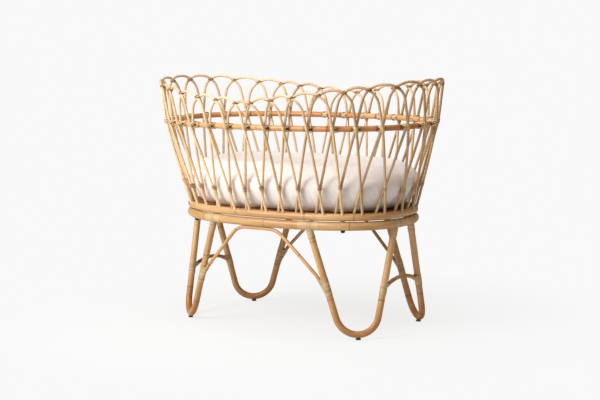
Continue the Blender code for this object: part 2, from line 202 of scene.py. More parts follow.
# Outline from the board up: (inset from the end, inset from the side, share of the height)
COVER_OUTLINE = (
    (0.150, 0.060, 0.0),
    (0.105, 0.040, 0.0),
    (0.074, 0.028, 0.035),
    (0.044, 0.017, 0.13),
    (0.022, 0.009, 0.27),
    (0.007, 0.003, 0.43),
    (0.0, 0.0, 0.60),
    (0.003, 0.003, 0.75),
    (0.015, 0.014, 0.88),
    (0.040, 0.036, 0.96),
    (0.080, 0.070, 0.99),
    (0.140, 0.120, 1.0),
)
PUFF_FRAMES = 20
COVER_CELL = 0.0074
ABOVE_BOARD = 0.0004

# Stage
BACKDROP = (0.792, 0.792, 0.792, 1)
ROOM_TINT = (1.0, 0.90, 0.79, 1)
LAMP_COLOUR = (1.0, 0.99, 0.975)
LIT_FROM = 0.28
LIT_TO = 1.0


# ---------------------------------------------------------------- settings a user would change


class BassinetRodSettings(bpy.types.PropertyGroup):
    hoop_rod: bpy.props.FloatProperty(
        name="Hoop rod",
        description="Diameter of the thin rods that make the wall",
        default=0.0082,
        unit="LENGTH",
    )
    ring_fullness: bpy.props.FloatProperty(
        name="Ring fullness",
        description="Share by which the two rings are thicker than their plain poles",
        default=0.045,
    )
    leg_pole: bpy.props.FloatProperty(
        name="Leg pole",
        description="Diameter of the bent poles that make the legs",
        default=0.0207,
        unit="LENGTH",
    )
    brace_rod: bpy.props.FloatProperty(
        name="Brace rod",
        description="Diameter of the long braces under the ring",
        default=0.011,
        unit="LENGTH",
    )
    arch_rod: bpy.props.FloatProperty(
        name="Arch rod",
        description="Diameter of the bowed rods at the two ends",
        default=0.012,
        unit="LENGTH",
    )
    cross_rod: bpy.props.FloatProperty(
        name="Cross rod",
        description="Diameter of the rods that carry the base board",
        default=0.010,
        unit="LENGTH",
    )
    hand_wobble: bpy.props.FloatProperty(
        name="Hand wobble",
        description="How far the hoops stray from even spacing",
        default=0.0060,
        unit="LENGTH",
    )


class BassinetPeelSettings(bpy.types.PropertyGroup):
    strap_width: bpy.props.FloatProperty(
        name="Strap width",
        description="Width of the peel that wraps the poles",
        default=0.0052,
        unit="LENGTH",
    )
    strap_thickness: bpy.props.FloatProperty(
        name="Strap thickness",
        description="Thickness of the peel",
        default=0.0012,
        unit="LENGTH",
    )
    binding_width: bpy.props.FloatProperty(
        name="Binding width",
        description="Width of the peel that binds the hoops to the rail",
        default=0.0036,
        unit="LENGTH",
    )
    tie_thickness: bpy.props.FloatProperty(
        name="Tie thickness",
        description="Thickness of the peel in ties and bindings",
        default=0.0008,
        unit="LENGTH",
    )
    tie_width: bpy.props.FloatProperty(
        name="Tie width",
        description="Width of the thin peel that ties two rods",
        default=0.0026,
        unit="LENGTH",
    )


class BassinetMattressSettings(bpy.types.PropertyGroup):
    puff: bpy.props.FloatProperty(
        name="Puff",
        description="Most that the filling pushes a point of the cover outwards",
        default=0.012,
        unit="LENGTH",
    )
    bulge: bpy.props.FloatProperty(
        name="Bulge",
        description="How far the filled sides stand out past the mattress block's rim",
        default=0.0075,
        unit="LENGTH",
    )
    pressure: bpy.props.FloatProperty(
        name="Pressure",
        description="Pressure of the filling on the cover",
        default=4.0,
    )
    fold_depth: bpy.props.FloatProperty(
        name="Fold depth",
        description="Depth of the soft folds in the cover",
        default=0.0060,
        unit="LENGTH",
    )


class BassinetColours(bpy.types.PropertyGroup):
    rod_light: bpy.props.FloatVectorProperty(
        name="Light rod",
        description="Pale skin of the thin rods",
        subtype="COLOR",
        default=(0.82, 0.625, 0.395),
        max=1.0,
    )
    rod_dark: bpy.props.FloatVectorProperty(
        name="Tanned rod",
        description="Tanned skin of the thin rods",
        subtype="COLOR",
        default=(0.43, 0.265, 0.13),
        max=1.0,
    )
    pole_light: bpy.props.FloatVectorProperty(
        name="Honey pole",
        description="Light skin of the rings and legs",
        subtype="COLOR",
        default=(0.66, 0.44, 0.225),
        max=1.0,
    )
    pole_dark: bpy.props.FloatVectorProperty(
        name="Orange pole",
        description="Heated skin of the poles, at bends",
        subtype="COLOR",
        default=(0.40, 0.18, 0.05),
        max=1.0,
    )
    rail_light: bpy.props.FloatVectorProperty(
        name="Light rail",
        description="Lighter poles of the rail",
        subtype="COLOR",
        default=(0.74, 0.49, 0.25),
        max=1.0,
    )
    rail_dark: bpy.props.FloatVectorProperty(
        name="Dark rail",
        description="Darker poles of the rail",
        subtype="COLOR",
        default=(0.52, 0.215, 0.07),
        max=1.0,
    )
    peel_light: bpy.props.FloatVectorProperty(
        name="Pale peel",
        description="Peel of the wraps and bindings",
        subtype="COLOR",
        default=(0.74, 0.57, 0.345),
        max=1.0,
    )
    peel_dark: bpy.props.FloatVectorProperty(
        name="Dark peel",
        description="Stained peel of the ties",
        subtype="COLOR",
        default=(0.33, 0.165, 0.065),
        max=1.0,
    )
    board: bpy.props.FloatVectorProperty(
        name="Base board",
        description="Stained board under the mattress",
        subtype="COLOR",
        default=(0.23, 0.105, 0.045),
        max=1.0,
    )
    cotton: bpy.props.FloatVectorProperty(
        name="Cotton",
        description="Unbleached cotton of the mattress cover",
        subtype="COLOR",
        default=(0.845, 0.805, 0.795),
        max=1.0,
    )


class BassinetStageSettings(bpy.types.PropertyGroup):
    azimuth: bpy.props.FloatProperty(
        name="Camera azimuth",
        description="Angle of the camera round the bassinet",
        default=math.radians(37.94),
        subtype="ANGLE",
    )
    distance: bpy.props.FloatProperty(
        name="Camera distance",
        description="Distance of the camera from the middle, along the floor",
        default=5.179,
        unit="LENGTH",
    )
    height: bpy.props.FloatProperty(
        name="Camera height",
        description="Height of the camera above the floor",
        default=1.049,
        unit="LENGTH",
    )
    pitch: bpy.props.FloatProperty(
        name="Camera pitch",
        description="How far the camera looks down",
        default=math.radians(7.265),
        subtype="ANGLE",
    )
    roll: bpy.props.FloatProperty(
        name="Camera roll",
        description="How far the camera leans to its side",
        default=math.radians(-1.378),
        subtype="ANGLE",
    )
    lens: bpy.props.FloatProperty(
        name="Lens",
        description="Focal length of the camera in millimetres",
        default=97.66,
    )
    key_power: bpy.props.FloatProperty(
        name="Key power",
        description="Power in watts of the large soft light from the left",
        default=77.0,
    )
    ambient: bpy.props.FloatProperty(
        name="Ambient",
        description="Brightness of the room around the bassinet",
        default=0.27,
    )


# ---------------------------------------------------------------- outlines shared with the frame


def oval_unit(angle):
    """Point of an oval whose two half sizes are 1."""
    power = 2 / OVAL_POWER
    along = math.copysign(abs(math.cos(angle)) ** power, math.cos(angle))
    across = math.copysign(abs(math.sin(angle)) ** power, math.sin(angle))
    return along, across


def even_turns(half_length, half_width, samples=1440):
    """Length along an oval at each sampled angle, as a share of its whole length."""
    angles = np.linspace(0, 2 * math.pi, samples + 1)
    points = np.array([oval_unit(a) for a in angles]) * (half_length, half_width)
    steps = np.hypot(*np.diff(points, axis=0).T)
    walked = np.concatenate([[0], np.cumsum(steps)])
    return angles, walked / walked[-1], float(walked[-1])


RAIL_ANGLES, RAIL_SHARES, RAIL_LONG = even_turns(RAIL_LENGTH, RAIL_WIDTH)
PITCH = RAIL_LONG / HOOP_COUNT


def angle_at(turn):
    """Angle of the oval after this share of the way round the rail."""
    return float(np.interp(turn % 1.0, RAIL_SHARES, RAIL_ANGLES))


def oval_point(turn, half_length, half_width, height):
    along, across = oval_unit(angle_at(turn))
    return Vector((half_length * along, half_width * across, height))


def ring_across(along):
    """Half width of the ring's centre line at this distance along X."""
    share = (abs(along) / RING_LENGTH) ** OVAL_POWER
    return RING_WIDTH * (1 - share) ** (1 / OVAL_POWER)


def ring_along(across):
    """Half length of the ring's centre line at this distance along Y."""
    share = (abs(across) / RING_WIDTH) ** OVAL_POWER
    return RING_LENGTH * (1 - share) ** (1 / OVAL_POWER)


# ---------------------------------------------------------------- materials


def graph(name):
    """A new material: its nodes, its links and its shader."""
    material = bpy.data.materials.new(name)
    material.use_nodes = True
    tree = material.node_tree
    return material, tree, tree.nodes["Principled BSDF"]


def node(tree, kind, **values):
    made = tree.nodes.new(kind)
    for key, value in values.items():
        setattr(made, key, value)
    return made


def stretched(tree, vector, scale, shift=(0.0, 0.0, 0.0)):
    mapping = node(tree, "ShaderNodeMapping")
    mapping.inputs["Scale"].default_value = scale
    mapping.inputs["Location"].default_value = shift
    tree.links.new(vector, mapping.inputs["Vector"])
    return mapping.outputs["Vector"]


def grained(tree, scale, shift=(0.0, 0.0, 0.0)):
    """The straightened rod's coordinates, stretched by the given scale."""
    source = node(tree, "ShaderNodeAttribute", attribute_name="grain")
    return stretched(tree, source.outputs["Vector"], scale, shift)


def spread(tree, vector, detail=3.0, roughness=0.55, distortion=0.0):
    """Noise over a vector whose scale is already set."""
    made = node(tree, "ShaderNodeTexNoise")
    made.inputs["Scale"].default_value = 1.0
    made.inputs["Detail"].default_value = detail
    made.inputs["Roughness"].default_value = roughness
    made.inputs["Distortion"].default_value = distortion
    tree.links.new(vector, made.inputs["Vector"])
    return made.outputs["Fac"]


def between(tree, value, low, high, to_low=0.0, to_high=1.0):
    """The value moved from one range to another, and kept inside it."""
    made = node(tree, "ShaderNodeMapRange")
    for socket, number in zip(("From Min", "From Max", "To Min", "To Max"), (low, high, to_low, to_high)):
        made.inputs[socket].default_value = number
    tree.links.new(value, made.inputs["Value"])
    return made.outputs["Result"]


def reckon(tree, operation, first, second):
    made = node(tree, "ShaderNodeMath", operation=operation)
    for socket, value in zip(made.inputs, (first, second)):
        if isinstance(value, (int, float)):
            socket.default_value = value
        else:
            tree.links.new(value, socket)
    return made.outputs["Value"]


def blended(tree, factor, first, second, kind="MIX"):
    """Two colours, each given as a colour or as a socket, mixed by a factor."""
    made = node(tree, "ShaderNodeMix", data_type="RGBA", blend_type=kind)
    if isinstance(factor, (int, float)):
        made.inputs["Factor"].default_value = factor
    else:
        tree.links.new(factor, made.inputs["Factor"])
    for socket, value in zip((made.inputs[6], made.inputs[7]), (first, second)):
        if isinstance(value, (tuple, list)):
            socket.default_value = value
        else:
            tree.links.new(value, socket)
    return made.outputs[2]


def attribute(tree, name):
    return node(tree, "ShaderNodeAttribute", attribute_name=name).outputs["Fac"]


def opaque(colour):
    return (*tuple(colour)[:3], 1.0)


def raised(tree, shader, height, strength, distance):
    """Lets a pattern stand out a little from the surface."""
    bump = node(tree, "ShaderNodeBump")
    bump.inputs["Strength"].default_value = strength
    bump.inputs["Distance"].default_value = distance
    tree.links.new(height, bump.inputs["Height"])
    tree.links.new(bump.outputs["Normal"], shader.inputs["Normal"])


def rattan(name, light, dark, fibre=1.0, ring_shade=0.6):
    """Rattan skin: streaks along the rod, pores, darker knuckles, patches of tan, and painted shade with a
    stain beside the ties.
    """
    material, tree, shader = graph(name)
    tone = attribute(tree, "tone")
    knuckle = attribute(tree, "knuckle")
    stain = attribute(tree, "stain")
    patches = spread(tree, grained(tree, (60, 60, 9)), 3.0, 0.6, 0.4)
    streaks = spread(tree, grained(tree, (900 * fibre, 900 * fibre, 16)), 4.0, 0.65)
    pores = spread(tree, grained(tree, (2300 * fibre, 2300 * fibre, 95), (3.0, 1.0, 7.0)), 2.0, 0.5)
    shift = between(tree, patches, 0.3, 0.72, -0.24, 0.30)
    lean = reckon(tree, "ADD", tone, shift)
    fine = between(tree, streaks, 0.36, 0.66, -0.13, 0.17)
    lean = between(tree, reckon(tree, "ADD", lean, fine), 0.0, 1.0)
    skin = blended(tree, lean, opaque(light), opaque(dark))
    bleach = between(tree, spread(tree, grained(tree, (210, 210, 30), (9, 4, 2)), 2.0), 0.55, 0.78, 0.0, 0.30)
    pale = opaque([min(1.0, channel * 1.22 + 0.03) for channel in light])
    skin = blended(tree, bleach, skin, pale)
    umber = opaque([channel * 0.40 for channel in dark])
    skin = blended(tree, between(tree, pores, 0.60, 0.74, 0.0, 0.50), skin, umber)
    skin = blended(tree, between(tree, knuckle, 0.0, 1.0, 0.0, ring_shade), skin, umber)
    # Painted shade beside the ties, partly a real stain: the rod darkens towards umber there
    skin = blended(tree, between(tree, stain, 0.0, 1.0, 0.0, 0.92), skin, umber)
    tree.links.new(skin, shader.inputs["Base Color"])
    rough = between(tree, streaks, 0.2, 0.8, 0.30, 0.52)
    tree.links.new(rough, shader.inputs["Roughness"])
    relief = reckon(tree, "SUBTRACT", streaks, reckon(tree, "MULTIPLY", pores, 0.4))
    raised(tree, shader, relief, 0.35, 0.0004)
    shader.inputs["Specular IOR Level"].default_value = 0.42
    shader.inputs["Coat Weight"].default_value = 0.22
    shader.inputs["Coat Roughness"].default_value = 0.28
    return material


def peel(name, light, dark):
    """Split peel: flat glossy straps with fine fibres along them, and painted shade darkening each strap
    towards its sides.
    """
    material, tree, shader = graph(name)
    tone = attribute(tree, "tone")
    fibres = spread(tree, grained(tree, (2600, 900, 40)), 3.0, 0.6)
    patches = spread(tree, grained(tree, (70, 70, 25)), 3.0)
    lean = reckon(tree, "ADD", tone, between(tree, patches, 0.3, 0.7, -0.2, 0.25))
    lean = reckon(tree, "ADD", lean, between(tree, fibres, 0.35, 0.65, -0.12, 0.18))
    skin = blended(tree, between(tree, lean, 0.0, 1.0), opaque(light), opaque(dark))
    # Painted shade: the strap darkens towards its sides, where it meets the rod and the next turn
    strap_side_shade = attribute(tree, "strap_side_shade")
    umber = opaque([channel * 0.35 for channel in dark])
    skin = blended(tree, between(tree, strap_side_shade, 0.0, 1.0, 0.0, 0.55), skin, umber)
    tree.links.new(skin, shader.inputs["Base Color"])
    tree.links.new(between(tree, fibres, 0.2, 0.8, 0.36, 0.6), shader.inputs["Roughness"])
    raised(tree, shader, fibres, 0.4, 0.0002)
    shader.inputs["Specular IOR Level"].default_value = 0.4
    return material


def object_mapped(tree, scale):
    source = node(tree, "ShaderNodeTexCoord")
    return stretched(tree, source.outputs["Object"], scale)


def metal(name, colour, roughness):
    """Plated steel with cloudy plating and fine scratches."""
    material, tree, shader = graph(name)
    clouds = spread(tree, object_mapped(tree, (240, 240, 240)), 4.0)
    scratches = spread(tree, object_mapped(tree, (2600, 300, 900)), 3.0)
    worn = opaque([min(1.0, channel * 1.9 + 0.03) for channel in colour])
    skin = blended(tree, between(tree, clouds, 0.45, 0.75, 0.0, 0.6), opaque(colour), worn)
    tree.links.new(skin, shader.inputs["Base Color"])
    tree.links.new(
        between(tree, scratches, 0.3, 0.7, roughness * 0.75, roughness * 1.35), shader.inputs["Roughness"]
    )
    shader.inputs["Metallic"].default_value = 0.9
    return material


def rubber(name):
    material, tree, shader = graph(name)
    dust = spread(tree, object_mapped(tree, (420, 420, 420)), 5.0, 0.7)
    skin = blended(
        tree, between(tree, dust, 0.45, 0.8, 0.0, 0.5), (0.16, 0.105, 0.065, 1), (0.32, 0.25, 0.18, 1)
    )
    tree.links.new(skin, shader.inputs["Base Color"])
    tree.links.new(between(tree, dust, 0.2, 0.8, 0.55, 0.85), shader.inputs["Roughness"])
    return material


def board(name, colour):
    """Stained plywood: long grain with darker veins."""
    material, tree, shader = graph(name)
    veins = spread(tree, object_mapped(tree, (6, 120, 120)), 5.0, 0.62, 0.6)
    ticks = spread(tree, object_mapped(tree, (40, 1500, 1500)), 3.0, 0.6)
    lighter = opaque([min(1.0, channel * 1.9) for channel in colour])
    darker = opaque([channel * 0.5 for channel in colour])
    skin = blended(tree, between(tree, veins, 0.3, 0.7), darker, lighter)
    skin = blended(tree, between(tree, ticks, 0.55, 0.75, 0.0, 0.5), skin, darker)
    tree.links.new(skin, shader.inputs["Base Color"])
    tree.links.new(between(tree, ticks, 0.2, 0.8, 0.45, 0.7), shader.inputs["Roughness"])
    raised(tree, shader, ticks, 0.3, 0.0004)
    return material


def cotton(name, colour):
    """Plain-woven cotton: crossing threads, slubs and faint mottling."""
    material, tree, shader = graph(name)
    mottle = spread(tree, object_mapped(tree, (9, 9, 9)), 4.0, 0.6)
    slubs = spread(tree, object_mapped(tree, (160, 900, 160)), 3.0, 0.6)
    cross_slubs = spread(tree, object_mapped(tree, (900, 160, 700)), 3.0, 0.6)
    warp = node(tree, "ShaderNodeTexWave", bands_direction="X")
    weft = node(tree, "ShaderNodeTexWave", bands_direction="Y")
    rise = node(tree, "ShaderNodeTexWave", bands_direction="Z")
    for wave in (warp, weft, rise):
        wave.inputs["Scale"].default_value = 420.0
        wave.inputs["Distortion"].default_value = 0.6
        wave.inputs["Detail"].default_value = 1.0
        tree.links.new(object_mapped(tree, (1, 1, 1)), wave.inputs["Vector"])
    weave = reckon(tree, "ADD", warp.outputs["Fac"], weft.outputs["Fac"])
    weave = reckon(tree, "ADD", weave, rise.outputs["Fac"])
    uneven = reckon(tree, "ADD", slubs, cross_slubs)
    warm = opaque([colour[0] * 0.97, colour[1] * 0.93, colour[2] * 0.86])
    cloth = blended(tree, between(tree, mottle, 0.35, 0.7, 0.0, 0.55), opaque(colour), warm)
    thread = opaque([channel * 0.86 for channel in colour])
    cloth = blended(tree, between(tree, uneven, 0.95, 1.3, 0.0, 0.4), cloth, thread)
    tree.links.new(cloth, shader.inputs["Base Color"])
    tree.links.new(between(tree, mottle, 0.2, 0.8, 0.82, 0.95), shader.inputs["Roughness"])
    height = reckon(tree, "ADD", reckon(tree, "MULTIPLY", weave, 0.25), uneven)
    raised(tree, shader, height, 0.35, 0.0005)
    shader.inputs["Sheen Weight"].default_value = 0.25
    shader.inputs["Specular IOR Level"].default_value = 0.2
    return material


def finish_named(name):
    """The material of this name, made from the colour settings when it is first asked for."""
    found = bpy.data.materials.get(name)
    if found:
        return found
    colours = bpy.context.scene.bassinet_colours
    makers = {
        "rod_skin": lambda: rattan("rod_skin", colours.rod_light, colours.rod_dark, 1.5, 0.35),
        "pole_skin": lambda: rattan("pole_skin", colours.pole_light, colours.pole_dark),
        "rail_skin": lambda: rattan("rail_skin", colours.rail_light, colours.rail_dark),
        "peel_skin": lambda: peel("peel_skin", colours.peel_light, colours.peel_dark),
        "dark_plate": lambda: metal("dark_plate", (0.05, 0.042, 0.036), 0.42),
        "pale_plate": lambda: metal("pale_plate", (0.5, 0.48, 0.45), 0.34),
        "glide_rubber": lambda: rubber("glide_rubber"),
        "stained_board": lambda: board("stained_board", colours.board),
        "cover_cotton": lambda: cotton("cover_cotton", colours.cotton),
    }
    return makers[name]()


# ---------------------------------------------------------------- shapes


def deselect():
    if bpy.context.object and bpy.context.object.mode != "OBJECT":
        bpy.ops.object.mode_set(mode="OBJECT")
    bpy.ops.object.select_all(action="DESELECT")


def close_shape(smooth_below=None):
    """Ends the work in edit mode: faces point outwards, and edges flatter than the angle are smooth."""
    bpy.ops.mesh.select_all(action="SELECT")
    bpy.ops.mesh.normals_make_consistent(inside=False)
    bpy.ops.object.mode_set(mode="OBJECT")
    if smooth_below is not None:
        bpy.ops.object.shade_smooth_by_angle(angle=smooth_below)


def pick(piece):
    """Makes a piece the one that the next operator acts on."""
    deselect()
    piece.select_set(True)
    bpy.context.view_layer.objects.active = piece


def dress(piece, finish, body, replaced=()):
    """Gives a finished piece its material and its body, and hides the frame parts it replaces."""
    piece.data.materials.clear()
    piece.data.materials.append(finish_named(finish))
    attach(piece, body)
    if replaced:
        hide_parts(*replaced)
    return piece


def write_attribute(mesh, name, values, kind="FLOAT"):
    made = mesh.attributes.get(name) or mesh.attributes.new(name, kind, "POINT")
    key = "vector" if kind == "FLOAT_VECTOR" else "value"
    made.data.foreach_set(key, np.asarray(values, np.float32).ravel())


def walked_along(points):
    """Distance of each point from the start of a line."""
    line = np.array(points, float)
    steps = np.linalg.norm(np.diff(line, axis=0), axis=1)
    return np.concatenate([[0.0], np.cumsum(steps)])


def at_distance(points, walked, distance):
    line = np.array(points, float)
    return Vector([float(np.interp(distance, walked, line[:, axis])) for axis in range(3)])


def knuckles_of(length, chance, nearest, farthest):
    """Places of the knuckles along a rod: uneven steps from a random start."""
    places = []
    place = chance.uniform(0.15, 0.9) * nearest
    while place < length:
        places.append(place)
        place += chance.uniform(nearest, farthest)
    return places


def swell_at(distance, places, ridge):
    """Share by which a rod is thicker here: a low ridge at a knuckle with a fine groove in it."""
    swell = 0.0
    for place in places:
        away = distance - place
        rise = ridge * math.exp(-((away / KNUCKLE_REACH) ** 2))
        groove = ridge * 1.3 * math.exp(-((away / GROOVE_REACH) ** 2))
        swell += rise - groove
    return swell


def mark_at(distance, places, reach):
    """1 at each of the places, fading to 0 on both sides."""
    return max([math.exp(-(((distance - place) / reach) ** 2)) for place in places] + [0.0])


def lay_rod(name, points, diameter, chance, sides=12, spacing=0.009, closed=False, tones=None, **look):
    """A rod of rattan along a line of close points: a curve with knuckles, made a mesh.

    tones gives the tone at a share of the rod's length. look may hold the least and greatest
    distance of its knuckles as nearest and farthest, their ridge, and the places beside a tie
    where the rod gets painted shade and a stain.
    """
    line = list(points) + ([points[0]] if closed else [])
    walked = walked_along(line)
    length = float(walked[-1])
    places = knuckles_of(length, chance, look.get("nearest", 0.14), look.get("farthest", 0.30))
    stains = look.get("stains", ())
    steps = max(4, round(length / spacing))
    stations = {round(length * i / steps, 6) for i in range(steps + 1)}
    for marks, steps_beside in ((places, KNUCKLE_STATIONS), (stains, TIE_SHADE_AND_STAIN_STATIONS)):
        for place in marks:
            for away in steps_beside:
                stations.add(round(min(max(place + away, 0.0), length), 6))
    stations = sorted(stations)
    if closed:
        stations = stations[:-1]
    gaps = [b - a for a, b in zip(stations, stations[1:])]
    stations = [stations[0]] + [s for s, gap in zip(stations[1:], gaps) if gap > LEAST_STATION_GAP]
    phase = chance.uniform(0, 100)
    thickness = []
    for station in stations:
        uneven = noise.noise((station * 9.0, phase, 0.0)) * 0.035
        thickness.append(1 + uneven + swell_at(station, places, look.get("ridge", 0.05)))
    deselect()
    bpy.ops.curve.primitive_nurbs_path_add()
    rod = bpy.context.object
    rod.name = name
    curve = rod.data
    curve.splines.clear()
    spline = curve.splines.new("POLY")
    spline.points.add(len(stations) - 1)
    for knot, station, share in zip(spline.points, stations, thickness):
        knot.co = (*at_distance(line, walked, station), 1.0)
        knot.radius = share
    spline.use_cyclic_u = closed
    curve.bevel_depth = diameter / 2
    curve.bevel_resolution = (sides - 4) // 2
    curve.use_fill_caps = not closed
    bpy.ops.object.convert(target="MESH")
    mesh = rod.data
    rows = np.repeat(np.arange(len(stations)), sides)
    spots = np.tile(np.arange(sides), len(stations))
    if not closed:
        rows = np.concatenate([np.full(sides, len(stations) - 1), np.zeros(sides, int), rows])
        spots = np.concatenate([np.arange(sides), np.arange(sides), spots])
    if len(rows) != len(mesh.vertices):
        raise RuntimeError(f"{name}: {len(mesh.vertices)} vertices, and {len(rows)} were expected")
    angles = spots * 2 * math.pi / sides
    far = np.array(stations)[rows]
    offset = chance.uniform(0, 50)
    across = np.array([np.cos(angles) * diameter / 2, np.sin(angles) * diameter / 2]).T
    write_attribute(mesh, "grain", np.column_stack([across, far + offset]), "FLOAT_VECTOR")
    write_attribute(mesh, "knuckle", [mark_at(d, places, SHADE_REACH) for d in far])
    tone_of = tones or (lambda share: 0.3)
    write_attribute(mesh, "tone", [tone_of(d / length) for d in far])
    # Painted shade with a stain beside the ties: 1 at each such place, fading along the rod
    write_attribute(mesh, "stain", [mark_at(d, stains, TIE_SHADE_AND_STAIN_REACH) for d in far])
    bpy.ops.object.mode_set(mode="EDIT")
    bpy.ops.mesh.select_all(action="SELECT")
    bpy.ops.mesh.remove_doubles(threshold=MERGE_DISTANCE)
    close_shape(ROD_EDGE)
    return rod


def nearest_crossing(line, centre, normal):
    """Where a line of points crosses a plane, nearest to the centre, and its direction there."""
    points = np.array(line, float)
    sides = (points - np.array(centre)) @ np.array(normal)
    best = None
    for i in np.nonzero(sides[:-1] * sides[1:] <= 0)[0]:
        share = sides[i] / (sides[i] - sides[i + 1]) if sides[i] != sides[i + 1] else 0.0
        spot = points[i] + (points[i + 1] - points[i]) * share
        away = float(np.linalg.norm(spot - np.array(centre)))
        if best is None or away < best[0]:
            best = (away, Vector(spot), Vector(points[i + 1] - points[i]).normalized())
    return best


def tight_loop(rods, centre, side, up, reach, count):
    """Points of a strap pulled tight round the rods, in the plane of side and up, and its normals."""
    normal = side.cross(up)
    spots = []
    for line, radius in rods:
        found = nearest_crossing(line, centre, normal)
        if found is None or found[0] > reach:
            continue
        _, point, direction = found
        for i in range(LOOP_STEPS):
            turn = 2 * math.pi * i / LOOP_STEPS
            ray = side * math.cos(turn) + up * math.sin(turn)
            slant = ray.dot(direction)
            spot = point + ray * (radius / math.sqrt(max(1 - slant * slant, 0.08))) - centre
            spots.append(Vector((spot.dot(side), spot.dot(up))))
    hull = [spots[i] for i in geometry.convex_hull_2d(spots)]
    ring = [Vector((p.x, p.y, 0.0)) for p in hull] + [Vector((hull[0].x, hull[0].y, 0.0))]
    walked = walked_along(ring)
    points = []
    normals = []
    for i in range(count):
        flat = at_distance(ring, walked, walked[-1] * i / count)
        ahead = at_distance(ring, walked, walked[-1] * ((i + 0.6) / count % 1.0))
        behind = at_distance(ring, walked, walked[-1] * ((i - 0.6) / count % 1.0))
        run = (ahead - behind).normalized()
        points.append(centre + side * flat.x + up * flat.y)
        normals.append((side * run.y - up * run.x).normalized())
    return points, normals, float(walked[-1])


def strap_rings(points, normals, across, width, thickness, lift):
    """Corners of the flat, slightly domed section of a strap at each point."""
    rings = []
    for point, normal in zip(points, normals):
        ring = [
            point + across * width * x + normal * (thickness * z + lift) for x, z in STRAP_SECTION
        ]
        rings.append(ring)
    return rings


class StrapWork:
    """Collects closed turns of peel, and makes them one piece."""

    def __init__(self, chance):
        self.chance = chance
        self.corners = []
        self.faces = []
        self.grain = []
        self.tone = []
        self.strap_side_shade = []

    def turn(self, rods, centre, side, up, width, thickness, tone, lift=0.0, reach=0.05, count=18, shoulder_shade=0.62):
        """One turn of peel round the rods in the plane of side and up."""
        points, normals, length = tight_loop(rods, centre, side, up, reach, count)
        across = side.cross(up).normalized()
        rings = strap_rings(points, normals, across, width, thickness, lift)
        first = len(self.corners)
        sides = len(rings[0])
        tint = min(max(tone + self.chance.uniform(-0.20, 0.24), 0.0), 1.0)
        offset = self.chance.uniform(0, 20)
        for i, ring in enumerate(rings):
            for j, corner in enumerate(ring):
                self.corners.append(corner)
                self.grain.append((width * (j / (sides - 1) - 0.5), 0.0, offset + length * i / count))
                self.tone.append(tint)
                # Painted shade across the strap: full at its two feet, less on its shoulders, none on its
                # crown
                self.strap_side_shade.append((1.0, shoulder_shade, 0.0, shoulder_shade, 1.0)[j])
        for i in range(count):
            ahead = (i + 1) % count
            for j in range(sides):
                beside = (j + 1) % sides
                self.faces.append(
                    (
                        first + i * sides + j,
                        first + i * sides + beside,
                        first + ahead * sides + beside,
                        first + ahead * sides + j,
                    )
                )

    def piece(self, name):
        mesh = bpy.data.meshes.new(name)
        mesh.from_pydata(self.corners, [], self.faces)
        write_attribute(mesh, "grain", self.grain, "FLOAT_VECTOR")
        write_attribute(mesh, "tone", self.tone)
        write_attribute(mesh, "strap_side_shade", self.strap_side_shade)
        piece = bpy.data.objects.new(name, mesh)
        bpy.context.scene.collection.objects.link(piece)
        pick(piece)
        bpy.ops.object.mode_set(mode="EDIT")
        close_shape(STRAP_EDGE)
        return piece


def wrap_pole(work, rods, line, start, stop, width, thickness, tone, slant=0.05, **turn_look):
    """Turns of peel side by side along a line, from one distance on it to another."""
    walked = walked_along(line)
    turns = max(2, round((stop - start) / width))
    for i in range(turns):
        place = start + (stop - start) * (i + 0.5) / turns
        centre = at_distance(line, walked, place)
        ahead = at_distance(line, walked, place + 0.002)
        behind = at_distance(line, walked, place - 0.002)
        run = (ahead - behind).normalized()
        lean = work.chance.uniform(-0.02, 0.02) + slant
        side = run.cross(Vector((0.31, 0.17, 0.93))).normalized()
        up = run.cross(side).normalized()
        up = (up + run * lean).normalized()
        spacing = (stop - start) / turns
        work.turn(rods, centre, side, up, spacing * 0.94, thickness, tone, **turn_look)


def turned_piece(name, profile, centre, sides=28):
    """A round piece: a filled circle extruded and scaled through a profile of (radius, height)."""
    deselect()
    radius, height = profile[0]
    spot = Vector((centre[0], centre[1], centre[2] + height))
    bpy.ops.mesh.primitive_circle_add(vertices=sides, radius=radius, fill_type="NGON", location=spot)
    piece = bpy.context.object
    piece.name = name
    bpy.ops.object.transform_apply(location=True, rotation=True, scale=True)
    bpy.ops.object.mode_set(mode="EDIT")
    bpy.ops.mesh.select_all(action="SELECT")
    for next_radius, next_height in profile[1:]:
        bpy.ops.mesh.extrude_region_move(
            TRANSFORM_OT_translate={"value": (0.0, 0.0, next_height - height)}
        )
        share = next_radius / radius
        spot.z = centre[2] + next_height
        bpy.ops.transform.resize(value=(share, share, 1.0), center_override=spot)
        radius, height = next_radius, next_height
    close_shape(TURNED_EDGE)
    return piece


# ---------------------------------------------------------------- the wall's lines


def warp(turn, rise, wobble):
    """A small, smooth stray of the wall's rods, so that their spacing looks made by hand."""
    phase = 2 * math.pi * turn
    drift = (
        0.50 * math.sin(7 * phase + 1.3)
        + 0.34 * math.sin(11 * phase + 4.1)
        + 0.30 * math.sin(5 * phase + rise * 9 + 0.7)
    )
    return turn + drift * wobble / RAIL_LONG


def eased_above(over, reach):
    """The value where it is above 0, and 0 below, with a smooth change that reaches this far."""
    if over < -reach:
        return 0.0
    if over > reach:
        return over
    return (over + reach) ** 2 / (4 * reach)


